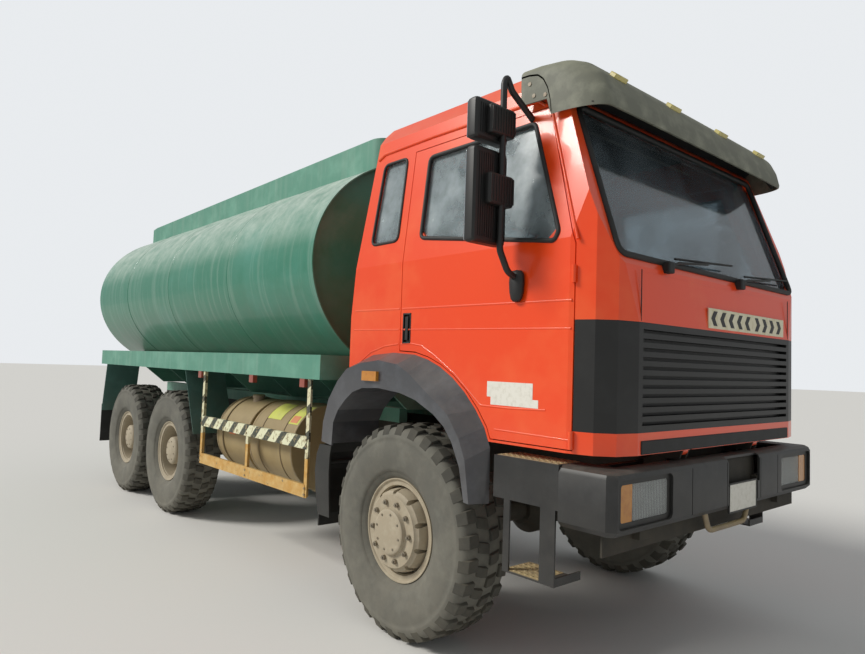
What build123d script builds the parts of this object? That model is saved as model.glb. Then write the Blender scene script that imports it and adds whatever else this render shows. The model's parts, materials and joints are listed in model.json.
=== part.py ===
from build123d import *
import math
import os

os.makedirs("parts", exist_ok=True)

# Sizes are in millimetres
# X points to the truck's left, Y from front to rear, Z up from the ground

# Overall layout
overall_length = 8230
front_overhang = 1415
wheelbase = 3850
bogie_spacing = 1360
fit = 0.3
running = 5

front_y = -overall_length / 2
rear_y = overall_length / 2
front_axle_y = front_y + front_overhang
middle_axle_y = front_axle_y + wheelbase
rear_axle_y = middle_axle_y + bogie_spacing

# Tyres and rims, with w measured outward from the middle of a tyre
tyre_radius = 620
tyre_width = 375
tread_width = 300
bead_radius = 257
rim_flange_radius = 300
rim_width = 254
rim_flange = 12
rim_barrel = 12
front_tyre_face_x = 1270
rear_tyre_face_x = 1230

front_tyre_x = front_tyre_face_x - tyre_width / 2
rear_tyre_x = rear_tyre_face_x - tyre_width / 2
rim_side = rim_width / 2
flange_face = rim_side + rim_flange

# Front hub stands proud of the tyre, rear hub is sunk in a deep dish
hub_plate_radius = 208
hub_cap_radius = 130
hub_plate_stand_out = 2
hub_cap_height = 28
front_hub_inner_w = -10
disc_thickness = 14
hand_hole_radius = 16
hand_hole_count = 10
rear_hub_radius = 140
rear_hub_face_w = 118
rear_disc_w = -24
rear_hub_inner_w = -122
hub_body_radius = 150

# Spindles and kingpins
spindle_radius = 55
spindle_length_w = 105
kingpin_x = 1000
kingpin_radius = 22
knuckle_radius = 60
knuckle_half_height = 80
yoke_arm_thickness = 42
yoke_arm_half_width = 38
axle_tube_radius = 72
diff_radius = 170
diff_half_width = 150

# Ladder frame
frame_half_width = 420
rail_height = 270
rail_flange = 80
rail_thickness = 12
rail_top_z = 1130
frame_front_offset = 1255
frame_rear_gap = 700
crossmember_width = 60
tow_plate = 50
tow_reach = 150
tow_hole_radius = 20
rail_bottom_z = rail_top_z - rail_height
frame_front_y = front_axle_y - frame_front_offset
frame_rear_y = rear_y - frame_rear_gap

# Springs
spring_width = 90
spring_x = 425
front_spring_half_length = 720
front_spring_pack = 62
leaf_end = 20
rear_spring_pack = 110
trunnion_radius = 60
trunnion_z = 570

# Cab outline, with y offsets from the front axle
cab_half_width = 1140
cab_top_half_width = 1045
cab_belt_z = 2230
cab_front_offset = 1365
cab_rear_offset = 690
cab_bottom_z = 1200
cab_rear_bottom_z = 1530
cab_roof_z = 3240
cab_back_lean = 140
cab_back_break_z = 1900
cab_wall = 48
cab_corner_radius = 190
roof_edge_radius = 150
cowl_z = 2105
cowl_setback = 22
screen_top_z = 2985
screen_top_setback = 335
brow_z = 3165
brow_setback = 520
arch_y_offset = 100
arch_z = 700
arch_radius = 830
tunnel_half_width = 400
tunnel_top_z = 1600

cab_front_y = front_axle_y - cab_front_offset
cab_rear_y = front_axle_y + cab_rear_offset
arch_y = front_axle_y + arch_y_offset

# Openings and panels of the cab
seam = 6
grille_bottom_z = 1305
grille_top_z = 1832
panel_top_z = 2080
grille_half_width = 880
slat_height = 26
slat_count = 11
slat_depth = 40
screen_pillar_base = 115
screen_pillar_top = 50
screen_base_half_width = cab_half_width - screen_pillar_base
screen_top_half_width = cab_top_half_width - screen_pillar_top
screen_sill = 45
screen_header = 45
glass_thickness = 8
glass_inset = 18

# Doors
door_front_offset = 1165
door_rear_offset = 150
door_bottom_z = 1212
door_top_z = 2950
door_pillar_top_offset = 935
door_pillar_break_z = 2200
door_sill_rear_z = 2365
door_sill_front_z = 2230
door_frame = 95
hinge_radius = 12
hinge_pin_radius = 5
hinge_height = 28
hinge_low_z = 1262
hinge_high_z = 2050
handle_depth = 22
handle_width = 80
handle_height = 190
handle_z = 1812
handle_gap = 25

# Mirrors
mirror_x = 1290
mirror_tube = 14
mirror_offset = 815
mirror_top_z = 3060
mirror_foot_z = 2060
mirror_arm_z = 2870
mirror_head_gap = 30
mirror_head_depth = 72
mirror_inner_x = 1222
mirror_outer_x = 1462
mirror_low_z = 2210
mirror_high_z = 2695
mirror_top_low_z = 2720
mirror_top_high_z = 2945

# Small windows
quarter_front_offset = 225
quarter_rear_offset = 507
quarter_bottom_z = 2375
quarter_top_z = 2925
quarter_lean = 40
rear_window_width = 430
rear_window_height = 400
rear_window_x = 420
rear_window_z = 2530

# Cab hinge at the front
cab_hinge_y_offset = 1328
cab_hinge_z = 1196
cab_hinge_x = 420
cab_pin_radius = 16
cab_lug_width = 50
cab_lug_radius = 34

# Arch trims, with outlines as (offset from the front axle, z), from the rear foot over the top
trim_face_x = 1252
trim_sheet = 14
trim_door_gap = 13
liner_inner_x = 870
liner_sheet = 10
trim_body_outline = [
    (845, 1050),
    (838, 1190),
    (790, 1350),
    (700, 1495),
    (590, 1590),
    (420, 1645),
    (210, 1662),
    (0, 1652),
    (-120, 1625),
    (-230, 1585),
    (-340, 1525),
    (-440, 1450),
    (-530, 1360),
    (-600, 1270),
    (-645, 1170),
    (-650, 880),
]
trim_face_outline = [
    (825, 1050),
    (815, 1180),
    (758, 1340),
    (660, 1465),
    (560, 1548),
    (405, 1590),
    (215, 1612),
    (30, 1590),
    (-75, 1545),
    (-150, 1498),
    (-225, 1450),
    (-330, 1390),
    (-425, 1328),
    (-520, 1210),
    (-570, 1100),
    (-608, 880),
]
trim_opening = [
    (700, 1050),
    (690, 1190),
    (640, 1275),
    (563, 1345),
    (480, 1402),
    (377, 1432),
    (209, 1441),
    (-9, 1422),
    (-149, 1390),
    (-308, 1322),
    (-400, 1260),
    (-465, 1185),
    (-530, 1060),
    (-572, 880),
]

# Mudguards behind the front wheels, outlines as (offset from the front axle, z)
guard_inner_x = 870
guard_sheet = 12
guard_outer_outline = [(842, 1030), (878, 960), (893, 845), (872, 700), (832, 560)]
guard_opening = [(702, 1030), (716, 960), (720, 845), (708, 700), (692, 560)]
guard_bar_z = 900

# Visor, with its side outline as (offset from the front axle, z) from the roof to the rim
visor_overhang = 65
visor_half_width = cab_top_half_width + visor_overhang
visor_sheet = 14
visor_corner = 150
visor_end_drop = 70
visor_top_outline = [(-770, 3203), (-900, 3198), (-1040, 3182), (-1130, 3142), (-1205, 3070), (-1247, 2985), (-1268, 2900)]
visor_foot_outline = [(-1240, 2878), (-968, 2884), (-945, 2966), (-770, 2975)]

# Front bumper
bumper_half_width = 1165
bumper_bottom_z = 870
bumper_top_z = 1143
bumper_depth = 165
bumper_sheet = 14
bumper_side_length = 300
apron_drop = 125
lamp_width = 450
lamp_height = 200
lamp_outer_x = 1118
lamp_z = 1000
lamp_depth = 90
indicator_width = 105
plate_recess_width = 560
plate_recess_height = 190
loop_half_width = 260
loop_drop = 115
loop_bar = 32

# Steps
step_front_offset = 1115
step_rear_offset = 700
step_bottom_z = 930
step_depth = 190
step_sheet = 10
tread_height = 8
lower_step_z = 572
lower_step_depth = 210
lower_step_front_offset = 1010
lower_step_rear_offset = 775
hanger_width = 90
hanger_sheet = 10

# Deck under the tank
deck_half_width = 1238
deck_top_z = 1637
deck_bottom_z = 1463
deck_sheet = 10
deck_flange = 70
deck_front_offset = 905
deck_rear_offset = 6215
subframe_height = 110
subframe_width = 80
bearer_thickness = 14
bearer_count = 7
bearer_inner_x = 440
bearer_outer_x = 720

# Tank
tank_half_width = 1150
tank_half_height = 932
tank_z = 2373
tank_front_offset = 1224
tank_sheet = 10
head_recess = 105
coaming_half_spacing = 545
coaming_sheet = 10
coaming_front_z = 3452
coaming_rear_z = 3392
coaming_corner = 140
coaming_rear_gap = 60
manhole_radius = 250
manhole_wall = 12
manhole_height = 70
manhole_offset = 3300
lid_thickness = 16
lid_rim = 20
outlet_radius = 50
outlet_wall = 8
outlet_flange_radius = 110
outlet_flange_thickness = 20
outlet_bolt_circle = 90
outlet_bolt_radius = 9
outlet_bolt_count = 8
outlet_z = 1760

tank_front_y = front_axle_y + tank_front_offset
deck_front_y = front_axle_y + deck_front_offset
deck_rear_y = front_axle_y + deck_rear_offset

# Side guards, fuel tank, boxes and mudguards
guard_front_offset = 1050
guard_middle_offset = 1985
guard_rear_offset = 2905
guard_post = 46
guard_rail_height = 90
guard_upper_z = 1010
guard_lower_z = 672
guard_setback = 2
guard_x = deck_half_width - guard_setback
fuel_radius = 340
fuel_x = 800
fuel_z = 905
fuel_front_offset = 1420
fuel_split_offset = 2130
fuel_rear_offset = 2790
fuel_gap = 60
strap_width = 46
strap_sheet = 5
box_front_offset = 1450
box_rear_offset = 2050
air_radius = 125
air_front_offset = 2180
air_rear_offset = 2980
mudguard_inner_x = 840
mudguard_sheet = 8
mudguard_front_top_offset = 3365
mudguard_front_foot_offset = 3090
mudguard_rear_top_offset = 5975
mudguard_rear_foot_offset = 6110
mudguard_foot_z = 870
flap_thickness = 12
flap_foot_z = 480

# Engine and driveline
engine_half_width = 320
engine_front_offset = 1120
engine_rear_offset = -20
engine_bottom_z = 830
engine_top_z = 1560
gearbox_radius = 190
gearbox_z = 1010
gearbox_end_offset = 760
transfer_front_offset = 1330
transfer_rear_offset = 1760
transfer_half_width = 230
transfer_bottom_z = 690
shaft_radius = 42
shaft_z = 760
radiator_half_width = 330
radiator_bottom_z = 900
radiator_top_z = 1500
radiator_depth = 60

# Cab furniture
seat_x = 715
seat_width = 500
seat_cushion_z = 1850
seat_cushion_thickness = 130
seat_back_top_z = 2560
dash_top_z = 2070
dash_bottom_z = 1800
dash_depth = 300
wheel_x = 690
wheel_rim_radius = 235
wheel_tube = 14
wheel_z = 2040
wheel_offset = 770
wheel_tilt = 28


def block(x_range, y_range, z_range, mode=Mode.ADD):
    """Adds a block that spans the three given ranges."""
    (x0, x1), (y0, y1), (z0, z1) = sorted(x_range), sorted(y_range), sorted(z_range)
    with Locations(((x0 + x1) / 2, (y0 + y1) / 2, (z0 + z1) / 2)):
        Box(x1 - x0, y1 - y0, z1 - z0, mode=mode)


def side_plate(points, x_range, mode=Mode.ADD):
    """Extrudes an outline of (y, z) points across the given x range."""
    x0, x1 = sorted(x_range)
    with BuildSketch(Plane.YZ.offset(x0)) as outline:
        with BuildLine():
            Polyline(*points, close=True)
        make_face()
    extrude(outline.sketch, amount=x1 - x0, mode=mode)


def front_plate(points, y_range, mode=Mode.ADD):
    """Extrudes an outline of (x, z) points along the given y range."""
    y0, y1 = sorted(y_range)
    with BuildSketch(Plane(origin=(0, y1, 0), x_dir=(1, 0, 0), z_dir=(0, -1, 0))) as outline:
        with BuildLine():
            Polyline(*points, close=True)
        make_face()
    extrude(outline.sketch, amount=y1 - y0, mode=mode)


def rod_x(radius, x_range, y, z, mode=Mode.ADD):
    """Adds a round bar along X."""
    x0, x1 = sorted(x_range)
    with BuildSketch(Plane(origin=(x0, y, z), x_dir=(0, 1, 0), z_dir=(1, 0, 0))) as ring:
        Circle(radius)
    extrude(ring.sketch, amount=x1 - x0, mode=mode)


def rod_y(radius, x, y_range, z, mode=Mode.ADD):
    """Adds a round bar along Y."""
    y0, y1 = sorted(y_range)
    with BuildSketch(Plane(origin=(x, y1, z), x_dir=(1, 0, 0), z_dir=(0, -1, 0))) as ring:
        Circle(radius)
    extrude(ring.sketch, amount=y1 - y0, mode=mode)


def rod_z(radius, x, y, z_range, mode=Mode.ADD):
    """Adds a round bar along Z."""
    z0, z1 = sorted(z_range)
    with BuildSketch(Plane.XY.offset(z0)) as ring:
        with Locations((x, y)):
            Circle(radius)
    extrude(ring.sketch, amount=z1 - z0, mode=mode)


def lathe(points, y, z, arc=360, mode=Mode.ADD):
    """Revolves an outline of (x, r) points about the X line through (y, z)."""
    with BuildSketch(Plane(origin=(0, y, z), x_dir=(1, 0, 0), z_dir=(0, -1, 0))) as outline:
        with BuildLine():
            Polyline(*points, close=True)
        make_face()
    revolve(outline.sketch, axis=Axis((0, y, z), (1, 0, 0)), revolution_arc=arc, mode=mode)


def save(part, name):
    """Labels a piece and writes it under its own name."""
    part.label = name
    export_step(part, "parts/" + name + ".step")


def tyre_outline(side, middle_x):
    """Closed section of a tyre as (x, r) points."""
    half = [
        (rim_side - fit, bead_radius + fit),
        (rim_side - fit, rim_flange_radius + 3),
        (flange_face + 12, rim_flange_radius + 12),
        (tyre_width / 2, (rim_flange_radius + tyre_radius) / 2 - 25),
        (tyre_width / 2 - 4, tyre_radius - 105),
        (tread_width / 2 + 14, tyre_radius - 20),
        (tread_width / 2 - 10, tyre_radius),
    ]
    mirrored = [(-w, r) for w, r in reversed(half)]
    return [(side * (middle_x + w), r) for w, r in half + mirrored]


def rim_outline(side, middle_x):
    """Closed section of the rim barrel and its two flanges."""
    inner = bead_radius - rim_barrel
    points = [
        (-flange_face, rim_flange_radius),
        (-rim_side, rim_flange_radius),
        (-rim_side, bead_radius),
        (rim_side, bead_radius),
        (rim_side, rim_flange_radius),
        (flange_face, rim_flange_radius),
        (flange_face, inner),
        (-flange_face, inner),
    ]
    return [(side * (middle_x + w), r) for w, r in points]


def front_disc_outline(side, middle_x):
    """Closed section of the domed front disc with its hub and cap."""
    plate_w = tyre_width / 2 + hub_plate_stand_out
    cap_w = plate_w + hub_cap_height
    seat = bead_radius - rim_barrel + 1
    points = [
        (flange_face - 80, seat),
        (plate_w - 12, hub_plate_radius + 6),
        (plate_w, hub_plate_radius),
        (plate_w, hub_cap_radius + 4),
        (cap_w - 6, hub_cap_radius - 4),
        (cap_w, hub_cap_radius - 14),
        (cap_w, 0),
        (spindle_length_w + running, 0),
        (spindle_length_w + running, spindle_radius + fit),
        (front_hub_inner_w, spindle_radius + fit),
        (front_hub_inner_w, hub_body_radius),
        (plate_w - 30, hub_body_radius),
        (plate_w - 26, hub_plate_radius - 14),
        (flange_face - 80 - disc_thickness, seat),
    ]
    return [(side * (middle_x + w), r) for w, r in points]


def rear_disc_outline(side, middle_x):
    """Closed section of the deep rear disc with its long hub."""
    seat = bead_radius - rim_barrel + 1
    points = [
        (rear_disc_w - 50, seat),
        (rear_disc_w - 26, seat),
        (rear_disc_w, hub_plate_radius),
        (rear_disc_w, rear_hub_radius + 4),
        (rear_hub_face_w - 16, rear_hub_radius - 4),
        (rear_hub_face_w, rear_hub_radius - 26),
        (rear_hub_face_w, 0),
        (spindle_length_w - 30, 0),
        (spindle_length_w - 30, spindle_radius + fit),
        (rear_hub_inner_w, spindle_radius + fit),
        (rear_hub_inner_w, hub_body_radius),
        (rear_disc_w - disc_thickness, hub_body_radius),
        (rear_disc_w - disc_thickness, hub_plate_radius - 8),
    ]
    return [(side * (middle_x + w), r) for w, r in points]


# Wheels by name, axle y, tyre middle x and disc section
wheel_table = [
    ("front", front_axle_y, front_tyre_x, front_disc_outline),
    ("middle", middle_axle_y, rear_tyre_x, rear_disc_outline),
    ("rear", rear_axle_y, rear_tyre_x, rear_disc_outline),
]

for axle_name, axle_y, middle_x, disc_outline in wheel_table:
    for side_name, side in (("left", 1), ("right", -1)):
        with BuildPart() as tyre:
            lathe(tyre_outline(side, middle_x), axle_y, tyre_radius)
        save(tyre.part, axle_name + "_tyre_" + side_name)

        with BuildPart() as wheel:
            lathe(rim_outline(side, middle_x), axle_y, tyre_radius)
            lathe(disc_outline(side, middle_x), axle_y, tyre_radius)
            if axle_name == "front":
                hole_circle = (hub_plate_radius + bead_radius - rim_barrel) / 2
                hole_plane = Plane(
                    origin=(side * (middle_x + tyre_width / 2 + hub_plate_stand_out), axle_y, tyre_radius),
                    x_dir=(0, 1, 0),
                    z_dir=(side, 0, 0),
                )
                with BuildSketch(hole_plane) as hand_holes:
                    with PolarLocations(hole_circle, hand_hole_count):
                        Circle(hand_hole_radius)
                extrude(hand_holes.sketch, amount=-160, mode=Mode.SUBTRACT)
        save(wheel.part, axle_name + "_wheel_" + side_name)

# Steering knuckles turn on kingpins and carry the front hubs
knuckle_foot = yoke_arm_thickness + 2
for side_name, side in (("left", 1), ("right", -1)):
    with BuildPart() as knuckle:
        rod_z(
            knuckle_radius,
            side * kingpin_x,
            front_axle_y,
            (tyre_radius - knuckle_half_height, tyre_radius + knuckle_half_height),
        )
        rod_z(
            kingpin_radius,
            side * kingpin_x,
            front_axle_y,
            (tyre_radius - knuckle_half_height - knuckle_foot, tyre_radius + knuckle_half_height + knuckle_foot),
        )
        rod_x(
            spindle_radius,
            (side * kingpin_x, side * (front_tyre_x + spindle_length_w)),
            front_axle_y,
            tyre_radius,
        )
    save(knuckle.part, "steering_knuckle_" + side_name)

# Front axle with its forks round the knuckles
fork_gap = 1
fork_low = knuckle_half_height + fork_gap
fork_high = fork_low + yoke_arm_thickness
with BuildPart() as front_axle:
    for side in (1, -1):
        web_x = kingpin_x - knuckle_radius - running
        rod_x(axle_tube_radius, (0, side * (web_x - 20)), front_axle_y, tyre_radius)
        block(
            (side * (web_x - 30), side * web_x),
            (front_axle_y - yoke_arm_half_width, front_axle_y + yoke_arm_half_width),
            (tyre_radius - fork_high, tyre_radius + fork_high),
        )
        for low, high in ((fork_low, fork_high), (-fork_high, -fork_low)):
            block(
                (side * (web_x - 30), side * kingpin_x),
                (front_axle_y - yoke_arm_half_width, front_axle_y + yoke_arm_half_width),
                (tyre_radius + low, tyre_radius + high),
            )
            rod_z(
                yoke_arm_half_width,
                side * kingpin_x,
                front_axle_y,
                (tyre_radius + low, tyre_radius + high),
            )
            rod_z(
                kingpin_radius + fit,
                side * kingpin_x,
                front_axle_y,
                (tyre_radius + low, tyre_radius + high),
                mode=Mode.SUBTRACT,
            )
        block(
            (side * (spring_x - spring_width / 2 - 8), side * (spring_x + spring_width / 2 + 8)),
            (front_axle_y - 90, front_axle_y + 90),
            (tyre_radius + axle_tube_radius - 30, tyre_radius + axle_tube_radius + 12),
        )
    lathe(
        [
            (-diff_half_width, 0),
            (-diff_half_width, diff_radius * 0.6),
            (-diff_half_width * 0.5, diff_radius),
            (diff_half_width * 0.5, diff_radius),
            (diff_half_width, diff_radius * 0.6),
            (diff_half_width, 0),
        ],
        front_axle_y,
        tyre_radius,
    )
    rod_y(70, 0, (front_axle_y, front_axle_y + diff_radius + 40), tyre_radius + 60)
save(front_axle.part, "front_axle")

# Both driven rear axles
with BuildPart() as rear_axles:
    for axle_y in (middle_axle_y, rear_axle_y):
        hub_x = rear_tyre_x + rear_hub_inner_w
        rod_x(axle_tube_radius + 6, (-hub_x + running, hub_x - running), axle_y, tyre_radius)
        rod_x(
            spindle_radius,
            (-rear_tyre_x - spindle_length_w + 35, rear_tyre_x + spindle_length_w - 35),
            axle_y,
            tyre_radius,
        )
        lathe(
            [
                (-diff_half_width - 20, 0),
                (-diff_half_width - 20, diff_radius * 0.6),
                (-diff_half_width * 0.5, diff_radius + 20),
                (diff_half_width * 0.5, diff_radius + 20),
                (diff_half_width + 20, diff_radius * 0.6),
                (diff_half_width + 20, 0),
            ],
            axle_y,
            tyre_radius,
        )
        block(
            (-74, 74),
            (axle_y - diff_radius - 60, axle_y),
            (tyre_radius, tyre_radius + 150),
        )
    block(
        (-68, 68),
        (middle_axle_y, middle_axle_y + diff_radius + 60),
        (tyre_radius, tyre_radius + 144),
    )
save(rear_axles.part, "rear_axles")

# Leaf springs, front pair over the axle and rear pair on the trunnion
front_spring_z = tyre_radius + axle_tube_radius + 12
bogie_y = (middle_axle_y + rear_axle_y) / 2
rear_spring_foot_z = tyre_radius + axle_tube_radius + 6
with BuildPart() as springs:
    for side in (1, -1):
        x0 = side * spring_x - spring_width / 2
        with BuildSketch(Plane.YZ.offset(x0)) as front_pack:
            with BuildLine():
                reach = front_spring_half_length
                low_left = (front_axle_y - reach, rail_bottom_z - leaf_end)
                low_right = (front_axle_y + reach, rail_bottom_z - leaf_end)
                high_left = (front_axle_y - reach, rail_bottom_z)
                high_right = (front_axle_y + reach, rail_bottom_z)
                Polyline(low_left, (front_axle_y - 90, front_spring_z), (front_axle_y + 90, front_spring_z), low_right)
                Line(low_right, high_right)
                ThreePointArc(high_right, (front_axle_y, front_spring_z + front_spring_pack), high_left)
                Line(high_left, low_left)
            make_face()
        extrude(front_pack.sketch, amount=spring_width)
        with BuildSketch(Plane.YZ.offset(x0)) as rear_pack:
            with BuildLine():
                reach = bogie_spacing / 2
                foot = rear_spring_foot_z
                top = rail_bottom_z - 25
                low_left = (bogie_y - reach - 60, foot)
                low_right = (bogie_y + reach + 60, foot)
                high_left = (bogie_y - reach - 60, foot + leaf_end)
                high_right = (bogie_y + reach + 60, foot + leaf_end)
                Line(low_left, (bogie_y - reach + 60, foot))
                Line((bogie_y - reach + 60, foot), (bogie_y - 110, top - rear_spring_pack))
                Line((bogie_y - 110, top - rear_spring_pack), (bogie_y + 110, top - rear_spring_pack))
                Line((bogie_y + 110, top - rear_spring_pack), (bogie_y + reach - 60, foot))
                Line((bogie_y + reach - 60, foot), low_right)
                Line(low_right, high_right)
                ThreePointArc(high_right, (bogie_y, top), high_left)
                Line(high_left, low_left)
            make_face()
        extrude(rear_pack.sketch, amount=spring_width)
save(springs.part, "leaf_springs")

# Ladder frame of two channel rails, cross members and brackets
with BuildPart() as chassis_frame:
    for side in (1, -1):
        outer = side * frame_half_width
        block((outer, outer - side * rail_flange), (frame_front_y, frame_rear_y), (rail_bottom_z, rail_top_z))
        block(
            (outer - side * rail_thickness, outer - side * (rail_flange + 1)),
            (frame_front_y - 1, frame_rear_y + 1),
            (rail_bottom_z + rail_thickness, rail_top_z - rail_thickness),
            mode=Mode.SUBTRACT,
        )
    # Cross members by y centre
    for member_y in (
        frame_front_y + crossmember_width / 2,
        front_axle_y + gearbox_end_offset + 90,
        front_axle_y + transfer_rear_offset + 160,
        bogie_y - 420,
        bogie_y + 420,
        frame_rear_y - crossmember_width / 2,
    ):
        block(
            (-frame_half_width + rail_thickness, frame_half_width - rail_thickness),
            (member_y - crossmember_width / 2, member_y + crossmember_width / 2),
            (rail_bottom_z + 50, rail_top_z - rail_thickness),
        )
    # Trunnion brackets and cross tube carry the rear springs
    for side in (1, -1):
        x_in = side * (spring_x - spring_width / 2 - fit)
        block(
            (x_in, x_in - side * 34),
            (bogie_y - 130, bogie_y + 130),
            (trunnion_z - 70, rail_bottom_z),
        )
        block(
            (x_in - side * 34, side * (spring_x + spring_width / 2)),
            (bogie_y - 100, bogie_y + 100),
            (trunnion_z - 70, rail_bottom_z - 25 - rear_spring_pack - fit),
        )
    rod_x(trunnion_radius, (-spring_x, spring_x), bogie_y, trunnion_z)
    # Cab hinge brackets lean forward over the bumper
    hinge_y = front_axle_y - cab_hinge_y_offset
    for side in (1, -1):
        for facing in (-1, 1):
            near = side * cab_hinge_x + facing * (cab_lug_width / 2 + fit)
            far = near + facing * 14
            side_plate(
                [
                    (frame_front_y + 120, rail_bottom_z + 60),
                    (frame_front_y + 120, rail_top_z),
                    (hinge_y + cab_lug_radius * 0.7, cab_hinge_z + cab_lug_radius * 0.5),
                    (hinge_y, cab_hinge_z + cab_lug_radius * 0.8),
                    (hinge_y - cab_lug_radius * 0.8, cab_hinge_z),
                    (hinge_y - cab_lug_radius * 0.3, bumper_top_z + 12),
                    (frame_front_y - 6, bumper_top_z + 4),
                    (frame_front_y - 6, rail_bottom_z + 60),
                ],
                (near, far),
            )
        block(
            (side * (cab_hinge_x - cab_lug_width / 2 - 14), side * (cab_hinge_x + cab_lug_width / 2 + 14)),
            (frame_front_y - 12, frame_front_y),
            (rail_bottom_z + 60, rail_top_z - 10),
        )
        rod_x(
            cab_pin_radius,
            (side * cab_hinge_x - cab_lug_width / 2 - 14, side * cab_hinge_x + cab_lug_width / 2 + 14),
            hinge_y,
            cab_hinge_z,
        )
    # Rear towing plate with its upright hole
    block(
        (-90, 90),
        (frame_rear_y, frame_rear_y + tow_reach),
        (rail_bottom_z + 100, rail_bottom_z + 100 + tow_plate),
    )
    rod_z(
        tow_hole_radius,
        0,
        frame_rear_y + tow_reach - 60,
        (rail_bottom_z + 90, rail_bottom_z + 110 + tow_plate),
        mode=Mode.SUBTRACT,
    )
save(chassis_frame.part, "chassis_frame")

# Engine as one block on lugs that rest on the rails
engine_front_y = front_axle_y - engine_front_offset
engine_rear_y = front_axle_y - engine_rear_offset
with BuildPart() as engine:
    block(
        (-engine_half_width, engine_half_width),
        (engine_front_y, engine_rear_y),
        (engine_bottom_z, engine_top_z),
    )
    for lug_y in (engine_front_y + 150, engine_rear_y - 150):
        block(
            (-frame_half_width + 10, frame_half_width - 10),
            (lug_y - 50, lug_y + 50),
            (rail_top_z, rail_top_z + 40),
        )
save(engine.part, "engine")

radiator_y = engine_front_y - 10
with BuildPart() as radiator:
    block(
        (-radiator_half_width, radiator_half_width),
        (radiator_y - radiator_depth, radiator_y),
        (radiator_bottom_z, radiator_top_z),
    )
    block(
        (-cab_hinge_x + cab_lug_width, cab_hinge_x - cab_lug_width),
        (radiator_y - radiator_depth, radiator_y),
        (rail_top_z, rail_top_z + 16),
    )
save(radiator.part, "radiator")

# Gearbox, transfer box and shafts
transfer_front_y = front_axle_y + transfer_front_offset
transfer_rear_y = front_axle_y + transfer_rear_offset
with BuildPart() as driveline:
    rod_y(gearbox_radius, 0, (engine_rear_y, front_axle_y + gearbox_end_offset - 200), gearbox_z)
    rod_y(gearbox_radius - 60, 0, (engine_rear_y, front_axle_y + gearbox_end_offset), gearbox_z - 20)
    rod_y(shaft_radius, 0, (engine_rear_y, transfer_front_y + 10), rail_bottom_z)
    block(
        (-transfer_half_width, transfer_half_width),
        (transfer_front_y, transfer_rear_y),
        (transfer_bottom_z, rail_top_z - 60),
    )
    block(
        (-frame_half_width + rail_thickness, frame_half_width - rail_thickness),
        (transfer_front_y + 120, transfer_front_y + 200),
        (rail_bottom_z + rail_thickness, rail_bottom_z + rail_thickness + 50),
    )
    rod_y(
        shaft_radius,
        0,
        (front_axle_y + diff_radius + 40, transfer_front_y + 10),
        tyre_radius + 100,
    )
    rod_y(
        shaft_radius,
        0,
        (transfer_rear_y - 10, middle_axle_y - diff_radius - 60),
        tyre_radius + 100,
    )
    rod_y(
        shaft_radius,
        0,
        (middle_axle_y + diff_radius + 60, rear_axle_y - diff_radius - 60),
        tyre_radius + 80,
    )
save(driveline.part, "driveline")

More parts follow.
